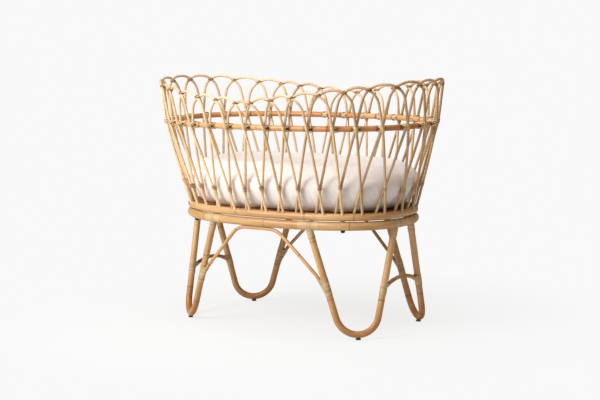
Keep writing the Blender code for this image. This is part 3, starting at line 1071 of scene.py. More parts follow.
def wall_point(turn, rise, layer, rods):
    """Centre of a hoop rod: rise is above the ring's centre, layer is 0 inside and 1 outside."""
    turn = warp(turn, rise, rods.hand_wobble)
    share = rise / RAIL_RISE
    share -= eased_above(share - 1, WALL_KINK) * (1 - FLARE_ABOVE_RAIL)
    step = rods.hoop_rod + LAYER_GAP
    at_ring = (layer - 0.5) * step
    at_rail = (RAIL_POLE + rods.hoop_rod) / 2 + RAIL_GAP + layer * step
    outwards = at_ring + (at_rail - at_ring) * share
    length = RING_LENGTH + (RAIL_LENGTH - RING_LENGTH) * share
    width = RING_WIDTH + (RAIL_WIDTH - RING_WIDTH) * share
    return oval_point(turn, length + outwards, width + outwards, BASKET_HEIGHT + rise)


def rim_rise(turn):
    along = abs(oval_unit(angle_at(turn))[0])
    return RIM_RISE_SIDE + (RIM_RISE_END - RIM_RISE_SIDE) * along


def half_hoop(crown):
    """(distance from the hoop's middle, rise above the rail), from the crown down into the ring."""
    lean = (REACH_AT_RING - REACH_AT_RAIL) * PITCH / RAIL_RISE
    tilt = math.atan(lean)
    radius = (REACH_AT_RAIL * PITCH - lean * crown) / (1 / math.cos(tilt) - lean)
    profile = []
    for i in range(25):
        turn = (math.pi / 2 - tilt) * i / 24
        profile.append((radius * math.sin(turn), crown - radius + radius * math.cos(turn)))
    start, top = profile[-1]
    bottom = -RAIL_RISE + BASKET_POLE * 0.2
    for i in range(1, 41):
        rise = top + (bottom - top) * i / 40
        profile.append((start + (top - rise) * lean, rise))
    return profile


def layer_at(distance):
    """0 on the hoop's left side, 1 on its right side, with a smooth change over the crown."""
    share = (distance / PITCH / LAYER_CHANGE + 1) / 2
    share = min(max(share, 0.0), 1.0)
    return share * share * (3 - 2 * share)


def hoop_line(index, rods):
    middle = index / HOOP_COUNT
    chance = random.Random(CROWN_SEED + index)
    half = half_hoop(rim_rise(middle) + chance.uniform(-0.002, 0.001))
    whole = [(-x, z) for x, z in reversed(half)] + half[1:]
    points = []
    for distance, rise in whole:
        turn = middle + distance / PITCH / HOOP_COUNT
        points.append(wall_point(turn, RAIL_RISE + rise, layer_at(distance), rods))
    return points


def hoop_lines(context):
    rods = context.scene.bassinet_rods
    return [hoop_line(index, rods) for index in range(HOOP_COUNT)]


def meeting(first, second, low, high):
    """Point midway between two rods where they pass closest, between two heights."""
    a = np.array([p for p in first if low < p.z < high], float)
    b = np.array([p for p in second if low < p.z < high], float)
    away = np.linalg.norm(a[:, None, :] - b[None, :, :], axis=2)
    i, j = np.unravel_index(np.argmin(away), away.shape)
    return Vector((a[i] + b[j]) / 2)


def directions_at(point):
    """Level directions at a point of the wall: away from its inside, and along the wall."""
    slopes = []
    for place, half in ((point.x, RAIL_LENGTH), (point.y, RAIL_WIDTH)):
        slopes.append(abs(place / half) ** (OVAL_POWER - 1) * math.copysign(1, place) / half)
    outward = Vector((*slopes, 0.0)).normalized()
    return outward, Vector((-outward.y, outward.x, 0.0))


def rail_points(rods, count):
    """Close points along the rail, which strays less than the hoops do."""
    points = []
    for i in range(count):
        turn = warp(i / RAIL_STEPS, RAIL_RISE, rods.hand_wobble * RAIL_STRAY)
        points.append(oval_point(turn, RAIL_LENGTH, RAIL_WIDTH, RAIL_HEIGHT))
    return points


# ---------------------------------------------------------------- the stand's lines


def leg_ends():
    """Height of a foot's centre line, and the places of the leg's two tops on the ring."""
    low = FOOT_HEIGHT + bpy.context.scene.bassinet_rods.leg_pole / 2
    inner = Vector((LEG_TOP_FROM_CENTRE, ring_across(LEG_TOP_FROM_CENTRE)))
    outer = Vector((ring_along(LEG_TOP_FROM_MIDLINE), LEG_TOP_FROM_MIDLINE))
    return low, inner, outer


def leg_line():
    """(distance from the loop's middle, height) from the foot's lowest point up one side."""
    low, inner, outer = leg_ends()
    spread_out = (outer - inner).length / 2
    centre = Vector((0.0, low + LEG_BEND_RADIUS))
    top = Vector((spread_out, STAND_HEIGHT))
    reach = top - centre
    tangent = math.atan2(reach.y, reach.x) - math.acos(LEG_BEND_RADIUS / reach.length)
    points = []
    for i in range(33):
        angle = -math.pi / 2 + (tangent + math.pi / 2) * i / 32
        points.append(centre + Vector((math.cos(angle), math.sin(angle))) * LEG_BEND_RADIUS)
    start = points[-1]
    return points + [start.lerp(top, i / 30) for i in range(1, 31)]


def leg_place(distance, height):
    """Point of the first quarter's leg: distance is towards the end (+) or the side (-)."""
    low, inner, outer = leg_ends()
    down = (STAND_HEIGHT - height) / (STAND_HEIGHT - low)
    spot = ((inner + outer) / 2).lerp(Vector((FOOT.x, FOOT.y)), down)
    spot += (outer - inner).normalized() * distance
    return Vector((spot.x, spot.y, height))


def leg_distance(height):
    line = leg_line()
    return float(np.interp(height, [p.y for p in line], [p.x for p in line]))


def mirrored(point, corner):
    side_x, side_y = CORNERS[corner]
    return Vector((side_x * point.x, side_y * point.y, point.z))


def leg_points(corner):
    """A leg's whole line, from the top beside the ring's long side to the top near its end."""
    half = leg_line()
    whole = [(-p.x, p.y) for p in reversed(half)] + [(p.x, p.y) for p in half[1:]]
    return [mirrored(leg_place(*spot), corner) for spot in whole]


def rounded(before, corner, after, length, steps=10):
    start = corner + (before - corner).normalized() * length
    end = corner + (after - corner).normalized() * length
    points = []
    for i in range(steps + 1):
        share = i / steps
        points.append(start.lerp(corner, share).lerp(corner.lerp(end, share), share))
    return points


def brace_points(side_y):
    """A long brace: from inside one leg's wrap, up, along under the ring and down to the next leg."""
    rods = bpy.context.scene.bassinet_rods
    height = STAND_HEIGHT - (STAND_POLE + rods.brace_rod) / 2
    joint = leg_place(-leg_distance(JOINT_HEIGHT), JOINT_HEIGHT)
    tip = Vector((BRACE_TOP_HALF_LENGTH, RING_WIDTH, height))
    middle = Vector((0.0, RING_WIDTH, height))
    low = JOINT_HEIGHT - BRACE_HEEL_DROP
    heel = leg_place(-leg_distance(low) - rods.brace_rod * 0.10, low)
    beside = leg_place(-leg_distance(JOINT_HEIGHT) - rods.brace_rod * 0.85, JOINT_HEIGHT)
    shoulder = joint.lerp(tip, 0.2)
    lean_in = rounded(heel, beside, shoulder, 0.020, 6)
    half = [heel] + lean_in + [shoulder] + rounded(joint, tip, middle, BRACE_BEND_LENGTH)
    left = [Vector((-p.x, side_y * p.y, p.z)) for p in half]
    right = [Vector((p.x, side_y * p.y, p.z)) for p in reversed(half)]
    return smooth_line(left + right, 0.006)


def smooth_line(points, spacing):
    """The same line with even, close points and its small kinks eased."""
    walked = walked_along(points)
    steps = round(float(walked[-1]) / spacing)
    line = [at_distance(points, walked, float(walked[-1]) * i / steps) for i in range(steps + 1)]
    for _ in range(2):
        eased = [(a + b * 2 + c) / 4 for a, b, c in zip(line, line[1:], line[2:])]
        line = [line[0]] + eased + [line[-1]]
    return line


def arch_points(side_x, steps=30):
    """A shallow bow between the two legs at one end."""
    upright = leg_place(leg_distance(ARCH_JOINT_HEIGHT), ARCH_JOINT_HEIGHT)
    points = []
    for i in range(steps + 1):
        share = 2 * i / steps - 1
        rise = ARCH_CROWN_RISE * (1 - share * share)
        points.append(Vector((side_x * upright.x, upright.y * share, ARCH_JOINT_HEIGHT + rise)))
    return points


def ring_points(height, start=0.0, count=RING_STEPS):
    """Close points along one of the two rings, from a share of the way round."""
    return [oval_point(start + i / count, RING_LENGTH, RING_WIDTH, height) for i in range(count)]


# ---------------------------------------------------------------- operators: poles and rods


class BASSINET_OT_lay_rings(bpy.types.Operator):
    """Lays the stand's ring and the basket's ring above it"""

    bl_idname = "bassinet.lay_rings"
    bl_label = "Lay the two rings"

    def execute(self, context):
        for node_name, pole, height, body in (
            ("stand_ring", STAND_POLE, STAND_HEIGHT, "stand"),
            ("basket_ring", BASKET_POLE, BASKET_HEIGHT, "basket"),
        ):
            chance = random.Random(RING_SEEDS[node_name])
            phase = chance.uniform(0, 9)
            ring = lay_rod(
                node_name + "_pole",
                ring_points(height, 0.86),
                pole * (1 + context.scene.bassinet_rods.ring_fullness),
                chance,
                sides=20,
                spacing=0.008,
                closed=True,
                nearest=0.17,
                farthest=0.32,
                ridge=0.028,
                tones=lambda share: 0.36 + 0.62 * noise.noise((share * 9, phase, 0)),
            )
            dress(ring, "pole_skin", body, (node_name,))
        return {"FINISHED"}


class BASSINET_OT_lay_rail(bpy.types.Operator):
    """Lays the rail inside the hoops, of four poles of different tone"""

    bl_idname = "bassinet.lay_rail"
    bl_label = "Lay the rail"

    def execute(self, context):
        rods = context.scene.bassinet_rods
        points = rail_points(rods, RAIL_STEPS)
        shares, values = zip(*RAIL_TONES)
        # Places on each side of a binding where the rail gets painted shade and a stain
        stains = []
        for index in range(HOOP_COUNT):
            for away in (-RAIL_TIE_SHADE_AND_STAIN_AWAY, RAIL_TIE_SHADE_AND_STAIN_AWAY):
                stains.append((RAIL_LONG * index / HOOP_COUNT + away) % RAIL_LONG)
        rail = lay_rod(
            "rail_pole",
            points,
            RAIL_POLE,
            random.Random(RAIL_SEED),
            sides=16,
            spacing=0.006,
            closed=True,
            nearest=0.15,
            farthest=0.27,
            ridge=0.035,
            stains=stains,
            tones=lambda share: float(np.interp(share, shares, values)),
        )
        dress(rail, "rail_skin", "basket", ("mid_rail",))
        return {"FINISHED"}


class BASSINET_OT_bend_hoops(bpy.types.Operator):
    """Bends the interlaced hoops of the wall and stands them in the basket's ring"""

    bl_idname = "bassinet.bend_hoops"
    bl_label = "Bend the hoops"

    def execute(self, context):
        rods = context.scene.bassinet_rods
        for index, line in enumerate(hoop_lines(context)):
            chance = random.Random(HOOP_SEED + index)
            # Hoops towards the right (+X) end get a darker tone
            toward_right_end = min(max((line[len(line) // 2].x - 0.12) / 0.30, 0.0), 1.0)
            base = chance.uniform(0.02, 0.34) + 0.50 * toward_right_end
            phase = chance.uniform(0, 50)
            hoop = lay_rod(
                f"rattan_hoop_{index + 1:02d}",
                line,
                rods.hoop_rod,
                chance,
                sides=12,
                spacing=0.0085,
                nearest=0.16,
                farthest=0.34,
                ridge=0.035,
                tones=lambda share: base + 0.26 * noise.noise((share * 5, phase, 0)),
            )
            dress(hoop, "rod_skin", "basket", (HOOP_NODES[index],))
        return {"FINISHED"}


class BASSINET_OT_bend_legs(bpy.types.Operator):
    """Bends the four leg loops up to the stand's ring"""

    bl_idname = "bassinet.bend_legs"
    bl_label = "Bend the legs"

    def execute(self, context):
        rods = context.scene.bassinet_rods
        for number, corner in enumerate(CORNERS):
            line = leg_points(corner)
            heights = [p.z for p in line]
            walked = walked_along(line)
            chance = random.Random(LEG_SEED + number)
            phase = chance.uniform(0, 50)

            def tone(share):
                height = float(np.interp(share * walked[-1], walked, heights))
                heated = 0.62 * math.exp(-((height / 0.12) ** 2))
                return 0.26 + heated + 0.22 * noise.noise((share * 6, phase, 0))

            leg = lay_rod(
                "leg_pole_" + corner,
                line,
                rods.leg_pole,
                chance,
                sides=18,
                spacing=0.007,
                nearest=0.16,
                farthest=0.30,
                ridge=0.035,
                tones=tone,
            )
            dress(leg, "pole_skin", "stand", ("leg_" + corner,))
        return {"FINISHED"}


class BASSINET_OT_fit_braces(bpy.types.Operator):
    """Fits the long braces, the end arches and the cross rods under the base board"""

    bl_idname = "bassinet.fit_braces"
    bl_label = "Fit braces and arches"

    def execute(self, context):
        rods = context.scene.bassinet_rods
        work = [
            ("brace_rod_front", brace_points(-1), rods.brace_rod, "front_brace", "stand"),
            ("brace_rod_back", brace_points(1), rods.brace_rod, "back_brace", "stand"),
            ("arch_rod_left", arch_points(-1), rods.arch_rod, "left_end_arch", "stand"),
            ("arch_rod_right", arch_points(1), rods.arch_rod, "right_end_arch", "stand"),
        ]
        for side in ("left", "right"):
            spot = middle_of(side + "_cross_bar")
            half = ring_across(spot.x) - BASKET_POLE * 0.3
            line = [Vector((spot.x, half * (i / 20 - 1), spot.z)) for i in range(41)]
            work.append((f"cross_rod_{side}", line, rods.cross_rod, side + "_cross_bar", "basket"))
        for number, (name, line, thick, node_name, body) in enumerate(work):
            chance = random.Random(BRACE_SEED + number)
            phase = chance.uniform(0, 50)
            base = 0.62 if "arch" in name else 0.34
            rod = lay_rod(
                name,
                line,
                thick,
                chance,
                sides=14,
                spacing=0.007,
                ridge=0.05,
                tones=lambda share: base + 0.22 * noise.noise((share * 5, phase, 0)),
            )
            dress(rod, "pole_skin", body, (node_name,))
        return {"FINISHED"}


# ---------------------------------------------------------------- operators: peel


class BASSINET_OT_bind_rail(bpy.types.Operator):
    """Binds the crossing hoops to the rail, with a cross of peel at each"""

    bl_idname = "bassinet.bind_rail"
    bl_label = "Bind the rail"

    def execute(self, context):
        straps = context.scene.bassinet_peel
        rods = context.scene.bassinet_rods
        lines = hoop_lines(context)
        rail = rail_points(rods, RAIL_STEPS + 1)
        for index in range(HOOP_COUNT):
            left = lines[(index - 1) % HOOP_COUNT]
            right = lines[(index + 1) % HOOP_COUNT]
            centre = meeting(left, right, RAIL_HEIGHT - 0.02, RAIL_HEIGHT + 0.02)
            centre.z = RAIL_HEIGHT
            outward, beside = directions_at(centre)
            bound = [(rail, RAIL_POLE / 2), (left, rods.hoop_rod / 2), (right, rods.hoop_rod / 2)]
            chance = random.Random(BINDING_SEED + index)
            work = StrapWork(chance)
            for lift, sign in ((0.0, 1), (straps.tie_thickness * 0.9, -1)):
                tilt = math.radians(BINDING_TILT_DEGREES + chance.uniform(-4, 4)) * sign
                up = Vector((0, 0, 1)) * math.cos(tilt) + beside * math.sin(tilt)
                normal = outward.cross(up)
                for step in (-0.5, 0.5):
                    spot = centre + normal * straps.binding_width * step * 1.02
                    work.turn(
                        bound,
                        spot,
                        outward,
                        up,
                        straps.binding_width,
                        straps.tie_thickness,
                        BINDING_TONE,
                        lift=lift,
                        count=20,
                        shoulder_shade=0.15,
                    )
            piece = work.piece(f"rail_binding_{index + 1:02d}")
            dress(piece, "peel_skin", "basket")
        return {"FINISHED"}


class BASSINET_OT_tie_hoops(bpy.types.Operator):
    """Ties neighbouring hoops together near the rim, and again low on the wall"""

    bl_idname = "bassinet.tie_hoops"
    bl_label = "Tie the hoops"

    def execute(self, context):
        straps = context.scene.bassinet_peel
        rods = context.scene.bassinet_rods
        lines = hoop_lines(context)
        for index in range(HOOP_COUNT):
            first = lines[index]
            second = lines[(index + 1) % HOOP_COUNT]
            third = lines[(index + 3) % HOOP_COUNT]
            centre = meeting(first, second, RAIL_HEIGHT + 0.03, RAIL_HEIGHT + 0.3)
            self.cross_tie(centre, first, second, rods, straps, index)
            centre = meeting(first, third, BASKET_HEIGHT + 0.03, BASKET_HEIGHT + 0.12)
            self.band_tie(centre, first, third, rods, straps, index)
        return {"FINISHED"}

    def cross_tie(self, centre, first, second, rods, straps, index):
        outward, beside = directions_at(centre)
        bound = [(first, rods.hoop_rod / 2), (second, rods.hoop_rod / 2)]
        chance = random.Random(RIM_TIE_SEED + index)
        work = StrapWork(chance)
        thin = straps.tie_thickness * 0.7
        for lift, tilt in ((0.0, 0.0), (thin * 0.8, math.pi / 2)):
            tilt += chance.uniform(-0.12, 0.12)
            up = Vector((0, 0, 1)) * math.cos(tilt) + beside * math.sin(tilt)
            normal = outward.cross(up)
            for step in (-0.5, 0.5):
                spot = centre + normal * straps.tie_width * RIM_TIE_SHARE * step
                work.turn(
                    bound,
                    spot,
                    outward,
                    up,
                    straps.tie_width * RIM_TIE_SHARE,
                    thin,
                    RIM_TIE_TONE,
                    lift=lift,
                    reach=0.012,
                    count=16,
                )
        piece = work.piece(f"rim_tie_{index + 1:02d}")
        dress(piece, "peel_skin", "basket")

    def band_tie(self, centre, first, second, rods, straps, index):
        outward, beside = directions_at(centre)
        bound = [(first, rods.hoop_rod / 2), (second, rods.hoop_rod / 2)]
        chance = random.Random(WALL_TIE_SEED + index)
        work = StrapWork(chance)
        for i in range(WALL_TIE_TURNS):
            spot = centre + Vector((0, 0, (i - (WALL_TIE_TURNS - 1) / 2) * straps.tie_width))
            lean = chance.uniform(-0.08, 0.08)
            side = (beside + Vector((0, 0, lean))).normalized()
            work.turn(
                bound,
                spot,
                side,
                outward,
                straps.tie_width * 0.96,
                straps.tie_thickness,
                0.42 + 0.4 * noise.noise((index * 0.7, 3.0, 0.0)),
                reach=0.02,
                count=16,
                shoulder_shade=0.3,
            )
        piece = work.piece(f"wall_tie_{index + 1:02d}")
        dress(piece, "peel_skin", "basket")


class BASSINET_OT_wrap_stand(bpy.types.Operator):
    """Wraps the leg tops, the ring above them and the joints of braces and arches with peel"""

    bl_idname = "bassinet.wrap_stand"
    bl_label = "Wrap the stand"

    def execute(self, context):
        straps = context.scene.bassinet_peel
        rods = context.scene.bassinet_rods
        ring = ring_points(STAND_HEIGHT) + ring_points(STAND_HEIGHT)[:RING_OVERLAP]
        ring_walked = walked_along(ring)
        for number, corner in enumerate(CORNERS):
            line = leg_points(corner)
            length = float(walked_along(line)[-1])
            leg = [(line, rods.leg_pole / 2)]
            for place, is_side in (("side", True), ("end", False)):
                chance = random.Random(LEG_WRAP_SEED + number * 2 + is_side)
                clear = STAND_POLE / 2 + 0.001
                work = StrapWork(chance)
                span = LEG_WRAP_LENGTH + chance.uniform(-0.003, 0.004)
                start = clear if is_side else length - clear - span
                sizes = (straps.strap_width, straps.strap_thickness, LEG_WRAP_TONE)
                wrap_pole(work, leg, line, start, start + span, *sizes)
                piece = work.piece(f"leg_top_wrap_{corner}_{place}")
                dress(piece, "peel_skin", "stand")
                self.ring_wrap(ring, ring_walked, line[0 if is_side else -1], corner, place, straps, chance)
            self.joint_wraps(number, corner, line, leg, rods, straps)
        return {"FINISHED"}

    def ring_wrap(self, ring, walked, top, corner, place, straps, chance):
        points = np.array(ring, float)
        nearest = int(np.argmin(np.linalg.norm(points[:RING_STEPS] - np.array(top), axis=1)))
        if nearest < RING_OVERLAP / 2:
            nearest += RING_STEPS
        half = RING_WRAP_HALF[place] + chance.uniform(-0.002, 0.003)
        middle = float(walked[nearest])
        work = StrapWork(chance)
        wrap_pole(
            work,
            [(ring, STAND_POLE / 2)],
            ring,
            middle - half,
            middle + half,
            straps.strap_width,
            straps.strap_thickness,
            RING_WRAP_TONE,
            slant=0.03,
            count=22,
        )
        piece = work.piece(f"ring_wrap_{corner}_{place}")
        dress(piece, "peel_skin", "stand")

    def joint_wraps(self, number, corner, line, leg, rods, straps):
        side_x, side_y = CORNERS[corner]
        brace = (brace_points(side_y), rods.brace_rod / 2)
        arch = (arch_points(side_x), rods.arch_rod / 2)
        walked = walked_along(line)
        middle = float(walked[-1]) / 2
        heights = np.array([p.z for p in line])
        half = len(line) // 2
        down = float(np.interp(-JOINT_HEIGHT, -heights[: half + 1], walked[: half + 1]))
        up = float(np.interp(ARCH_JOINT_HEIGHT, heights[half:], walked[half:]))
        chance = random.Random(JOINT_WRAP_SEED + number)
        work = StrapWork(chance)
        look = {"reach": 0.026, "count": 22}
        width = straps.strap_width
        thick = straps.strap_thickness
        bottom = down - BRACE_WRAP_BELOW
        between_wraps = down + BRACE_WRAP_MIDDLE
        top = down + BRACE_WRAP_ABOVE
        sizes = (width, thick, JOINT_WRAP_TONE)
        wrap_pole(work, leg + [brace], line, bottom, between_wraps, *sizes, **look)
        sizes = (width, thick * 0.8, UPPER_WRAP_TONE)
        wrap_pole(work, leg + [brace], line, between_wraps, top, *sizes, **look)
        dress(work.piece("brace_wrap_" + corner), "peel_skin", "stand")
        work = StrapWork(chance)
        sizes = (width, thick, JOINT_WRAP_TONE)
        wrap_pole(work, leg + [arch], line, up - ARCH_WRAP_BELOW, up + ARCH_WRAP_ABOVE, *sizes, **look)
        dress(work.piece("arch_wrap_" + corner), "peel_skin", "stand")
        if not down < middle < up:
            raise RuntimeError(f"{corner}: the joints aren't on the two sides of the foot")


# ---------------------------------------------------------------- operators: hardware and base


class BASSINET_OT_turn_hardware(bpy.types.Operator):
    """Turns the knobbed bolts and the glides, and finishes the washers"""

    bl_idname = "bassinet.turn_hardware"
    bl_label = "Turn the hardware"

    def execute(self, context):
        for corner in CORNERS:
            bolt_node = "bolt_" + corner
            low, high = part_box(bolt_node)
            centre = (low + high) / 2
            knob = (high.x - low.x) / 2
            shank = knob * 0.43
            rise = STAND_HEIGHT - STAND_POLE / 2 - low.z
            profile = [
                (knob * 0.30, low.z),
                (knob * 0.52, low.z + rise * 0.03),
                (knob * 0.78, low.z + rise * 0.16),
                (knob * 0.93, low.z + rise * 0.36),
                (knob, low.z + rise * 0.60),
                (knob * 0.97, low.z + rise * 0.82),
                (knob * 0.88, low.z + rise * 0.95),
                (shank, low.z + rise * 0.96),
                (shank, high.z - shank * 0.4),
                (shank * 0.7, high.z),
            ]
            bolt = turned_piece("bolt_knob_" + corner, profile, (centre.x, centre.y, 0.0))
            dress(bolt, "dark_plate", "stand", (bolt_node,))
            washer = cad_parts["washer_" + corner]
            washer.data.materials.clear()
            washer.data.materials.append(finish_named("pale_plate"))
            glide_node = "glide_" + corner
            low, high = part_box(glide_node)
            centre = (low + high) / 2
            width = (high.x - low.x) / 2
            profile = [
                (width * 0.80, 0.0),
                (width * 0.93, 0.0004),
                (width, 0.0014),
                (width, 0.0034),
                (width * 0.94, 0.0044),
                (width * 0.80, 0.0052),
                (width * 0.20, 0.0054),
                (width * 0.18, high.z),
            ]
            glide = turned_piece("rubber_foot_" + corner, profile, (centre.x, centre.y, 0.0))
            dress(glide, "glide_rubber", "stand", (glide_node,))
        return {"FINISHED"}


def oval_layers(name, layers, sides=160):
    """A flat oval form, extruded through layers of (half length, half width, height)."""
    deselect()
    length, width, height = layers[0]
    bpy.ops.mesh.primitive_circle_add(vertices=sides, radius=1.0, fill_type="NGON", location=(0, 0, 0))
    piece = bpy.context.object
    piece.name = name
    for index, vertex in enumerate(piece.data.vertices):
        along, across = oval_unit(angle_at(index / sides))
        vertex.co = (length * along, width * across, height)
    bpy.ops.object.mode_set(mode="EDIT")
    bpy.ops.mesh.select_all(action="SELECT")
    for next_length, next_width, next_height in layers[1:]:
        bpy.ops.mesh.extrude_region_move(
            TRANSFORM_OT_translate={"value": (0.0, 0.0, next_height - height)}
        )
        bpy.ops.transform.resize(
            value=(next_length / length, next_width / width, 1.0), center_override=(0, 0, next_height)
        )
        length, width, height = next_length, next_width, next_height
    close_shape()
    return piece


class BASSINET_OT_cut_base_board(bpy.types.Operator):
    """Cuts the oval board that carries the mattress, with eased edges"""

    bl_idname = "bassinet.cut_base_board"
    bl_label = "Cut the base board"

    def execute(self, context):
        low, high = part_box("base_panel")
        ease = 0.0012
        layers = [
            (high.x - ease, high.y - ease, low.z),
            (high.x - ease * 0.3, high.y - ease * 0.3, low.z + ease * 0.3),
            (high.x, high.y, low.z + ease),
            (high.x, high.y, high.z - ease),
            (high.x - ease * 0.3, high.y - ease * 0.3, high.z - ease * 0.3),
            (high.x - ease, high.y - ease, high.z),
        ]
        panel = oval_layers("base_board", layers)
        pick(panel)
        bpy.ops.object.shade_smooth_by_angle(angle=BOARD_EDGE)
        dress(panel, "stained_board", "basket", ("base_panel",))
        return {"FINISHED"}


# ---------------------------------------------------------------- operators: mattress


def apply_all(piece):
    pick(piece)
    for modifier in list(piece.modifiers):
        bpy.ops.object.modifier_apply(modifier=modifier.name)


def coordinates(piece):
    spots = np.zeros(len(piece.data.vertices) * 3, np.float32)
    piece.data.vertices.foreach_get("co", spots)
    return spots.reshape(-1, 3).astype(float)


def set_coordinates(piece, spots):
    piece.data.vertices.foreach_set("co", spots.astype(np.float32).ravel())
    piece.data.update()


def puff_up(piece, pressure, cap):
    """Lets the filling push the cover out, and keeps each point within the cap."""
    start = coordinates(piece)
    cloth = piece.modifiers.new("Cloth", "CLOTH")
    for key, value in COTTON_COVER.items():
        setattr(cloth.settings, key, value)
    cloth.settings.use_pressure = True
    cloth.settings.uniform_pressure_force = pressure
    cloth.settings.effector_weights.gravity = 0.0
    cloth.point_cache.frame_start = 1
    cloth.point_cache.frame_end = PUFF_FRAMES
    scene = bpy.context.scene
    for number in range(1, PUFF_FRAMES + 1):
        scene.frame_set(number)
    graph_now = bpy.context.evaluated_depsgraph_get()
    spots = coordinates(piece.evaluated_get(graph_now))
    piece.modifiers.remove(cloth)
    scene.frame_set(1)
    moved = spots - start
    far = np.linalg.norm(moved, axis=1, keepdims=True)
    moved *= np.minimum(1.0, cap / np.maximum(far, 1e-9))
    set_coordinates(piece, start + moved)


def fold_cover(piece, depth):
    """Gathers round the lower edge, slanting folds on the flank and shallow dents on top."""
    spots = coordinates(piece)
    low = spots[:, 2].min()
    high = spots[:, 2].max()
    normals = np.zeros(len(spots) * 3, np.float32)
    piece.data.vertices.foreach_get("normal", normals)
    normals = normals.reshape(-1, 3)
    pushed = spots.copy()
    for i, (spot, normal) in enumerate(zip(spots, normals)):
        level = (spot[2] - low) / (high - low)
        round_about = math.atan2(spot[1] / RING_WIDTH, spot[0] / RING_LENGTH)
        along = round_about * 0.34
        flank = 1 - abs(normal[2])
        sway = noise.noise((along * 4.0, spot[2] * 6.0, 2.2)) * 0.030
        run = along * 0.88 + spot[2] * 0.42 + sway
        patch = noise.noise((along * 5.5 + 3.1, spot[2] * 4.0, 1.7))
        gather = 1 - abs(noise.noise((run * 26, spot[2] * 3.0, 4.2))) * 3.0
        gather = max(gather, 0.0) ** 1.5
        fine = 1 - abs(noise.noise((run * 58 + 3, spot[2] * 7.0, 9.2))) * 3.2
        fine = max(fine, 0.0) ** 2
        lower = flank * math.exp(-(((level - 0.26) / 0.26) ** 2))
        middle = flank * math.exp(-(((level - 0.55) / 0.22) ** 2))
        share = lower * (gather * 0.9 + fine * 0.4) + middle * gather * max(patch * 2.0 + 0.15, 0.0)
        broad = noise.noise((spot[0] * 7, spot[1] * 7, spot[2] * 7 + 5.0))
        top = max(normal[2], 0.0) * noise.noise((spot[0] * 15, spot[1] * 22, 8.0)) * 0.5
        pushed[i] += normal * depth * (share - lower * 0.45 + broad * 0.7 + top)
    set_coordinates(piece, pushed)


class BASSINET_OT_fill_mattress(bpy.types.Operator):
    """Sews and fills the cotton mattress inside the wall"""

    bl_idname = "bassinet.fill_mattress"
    bl_label = "Fill the mattress"

    def execute(self, context):
        settings = context.scene.bassinet_mattress
        low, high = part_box("mattress")
        thick = high.z - low.z
        slack = settings.puff * 0.6
        layers = []
        for end_inset, side_inset, level in COVER_OUTLINE:
            height = low.z + 0.001 + (thick - slack) * level
            layers.append((high.x + 0.004 - end_inset, high.y + 0.003 - side_inset, height))
        cover = oval_layers("cotton_mattress", layers, 120)
        remesh = cover.modifiers.new("Remesh", "REMESH")
        remesh.mode = "VOXEL"
        remesh.voxel_size = COVER_CELL
        apply_all(cover)
        puff_up(cover, settings.pressure, settings.puff)
        spots = coordinates(cover)
        spots[:, 2] = np.maximum(spots[:, 2], low.z + ABOVE_BOARD)
        set_coordinates(cover, spots)
        finer = cover.modifiers.new("Finer", "SUBSURF")
        finer.levels = 1
        finer.render_levels = 1
        apply_all(cover)
        fold_cover(cover, settings.fold_depth)
        self.fit_inside(cover, settings, low, high)
        bpy.ops.object.shade_smooth()
        dress(cover, "cover_cotton", "mattress", ("mattress",))
        return {"FINISHED"}

    def fit_inside(self, cover, settings, low, high):
        """Lets the cover reach nearly to the wall, and keeps it on the board."""
        spots = coordinates(cover)
        for axis, reach in ((0, high.x + settings.bulge), (1, high.y + settings.bulge)):
            middle = (spots[:, axis].max() + spots[:, axis].min()) / 2
            half = (spots[:, axis].max() - spots[:, axis].min()) / 2
            spots[:, axis] = (spots[:, axis] - middle) * reach / half
        spots[:, 2] = np.maximum(spots[:, 2], low.z + ABOVE_BOARD)
        set_coordinates(cover, spots)


# ---------------------------------------------------------------- operators: stage


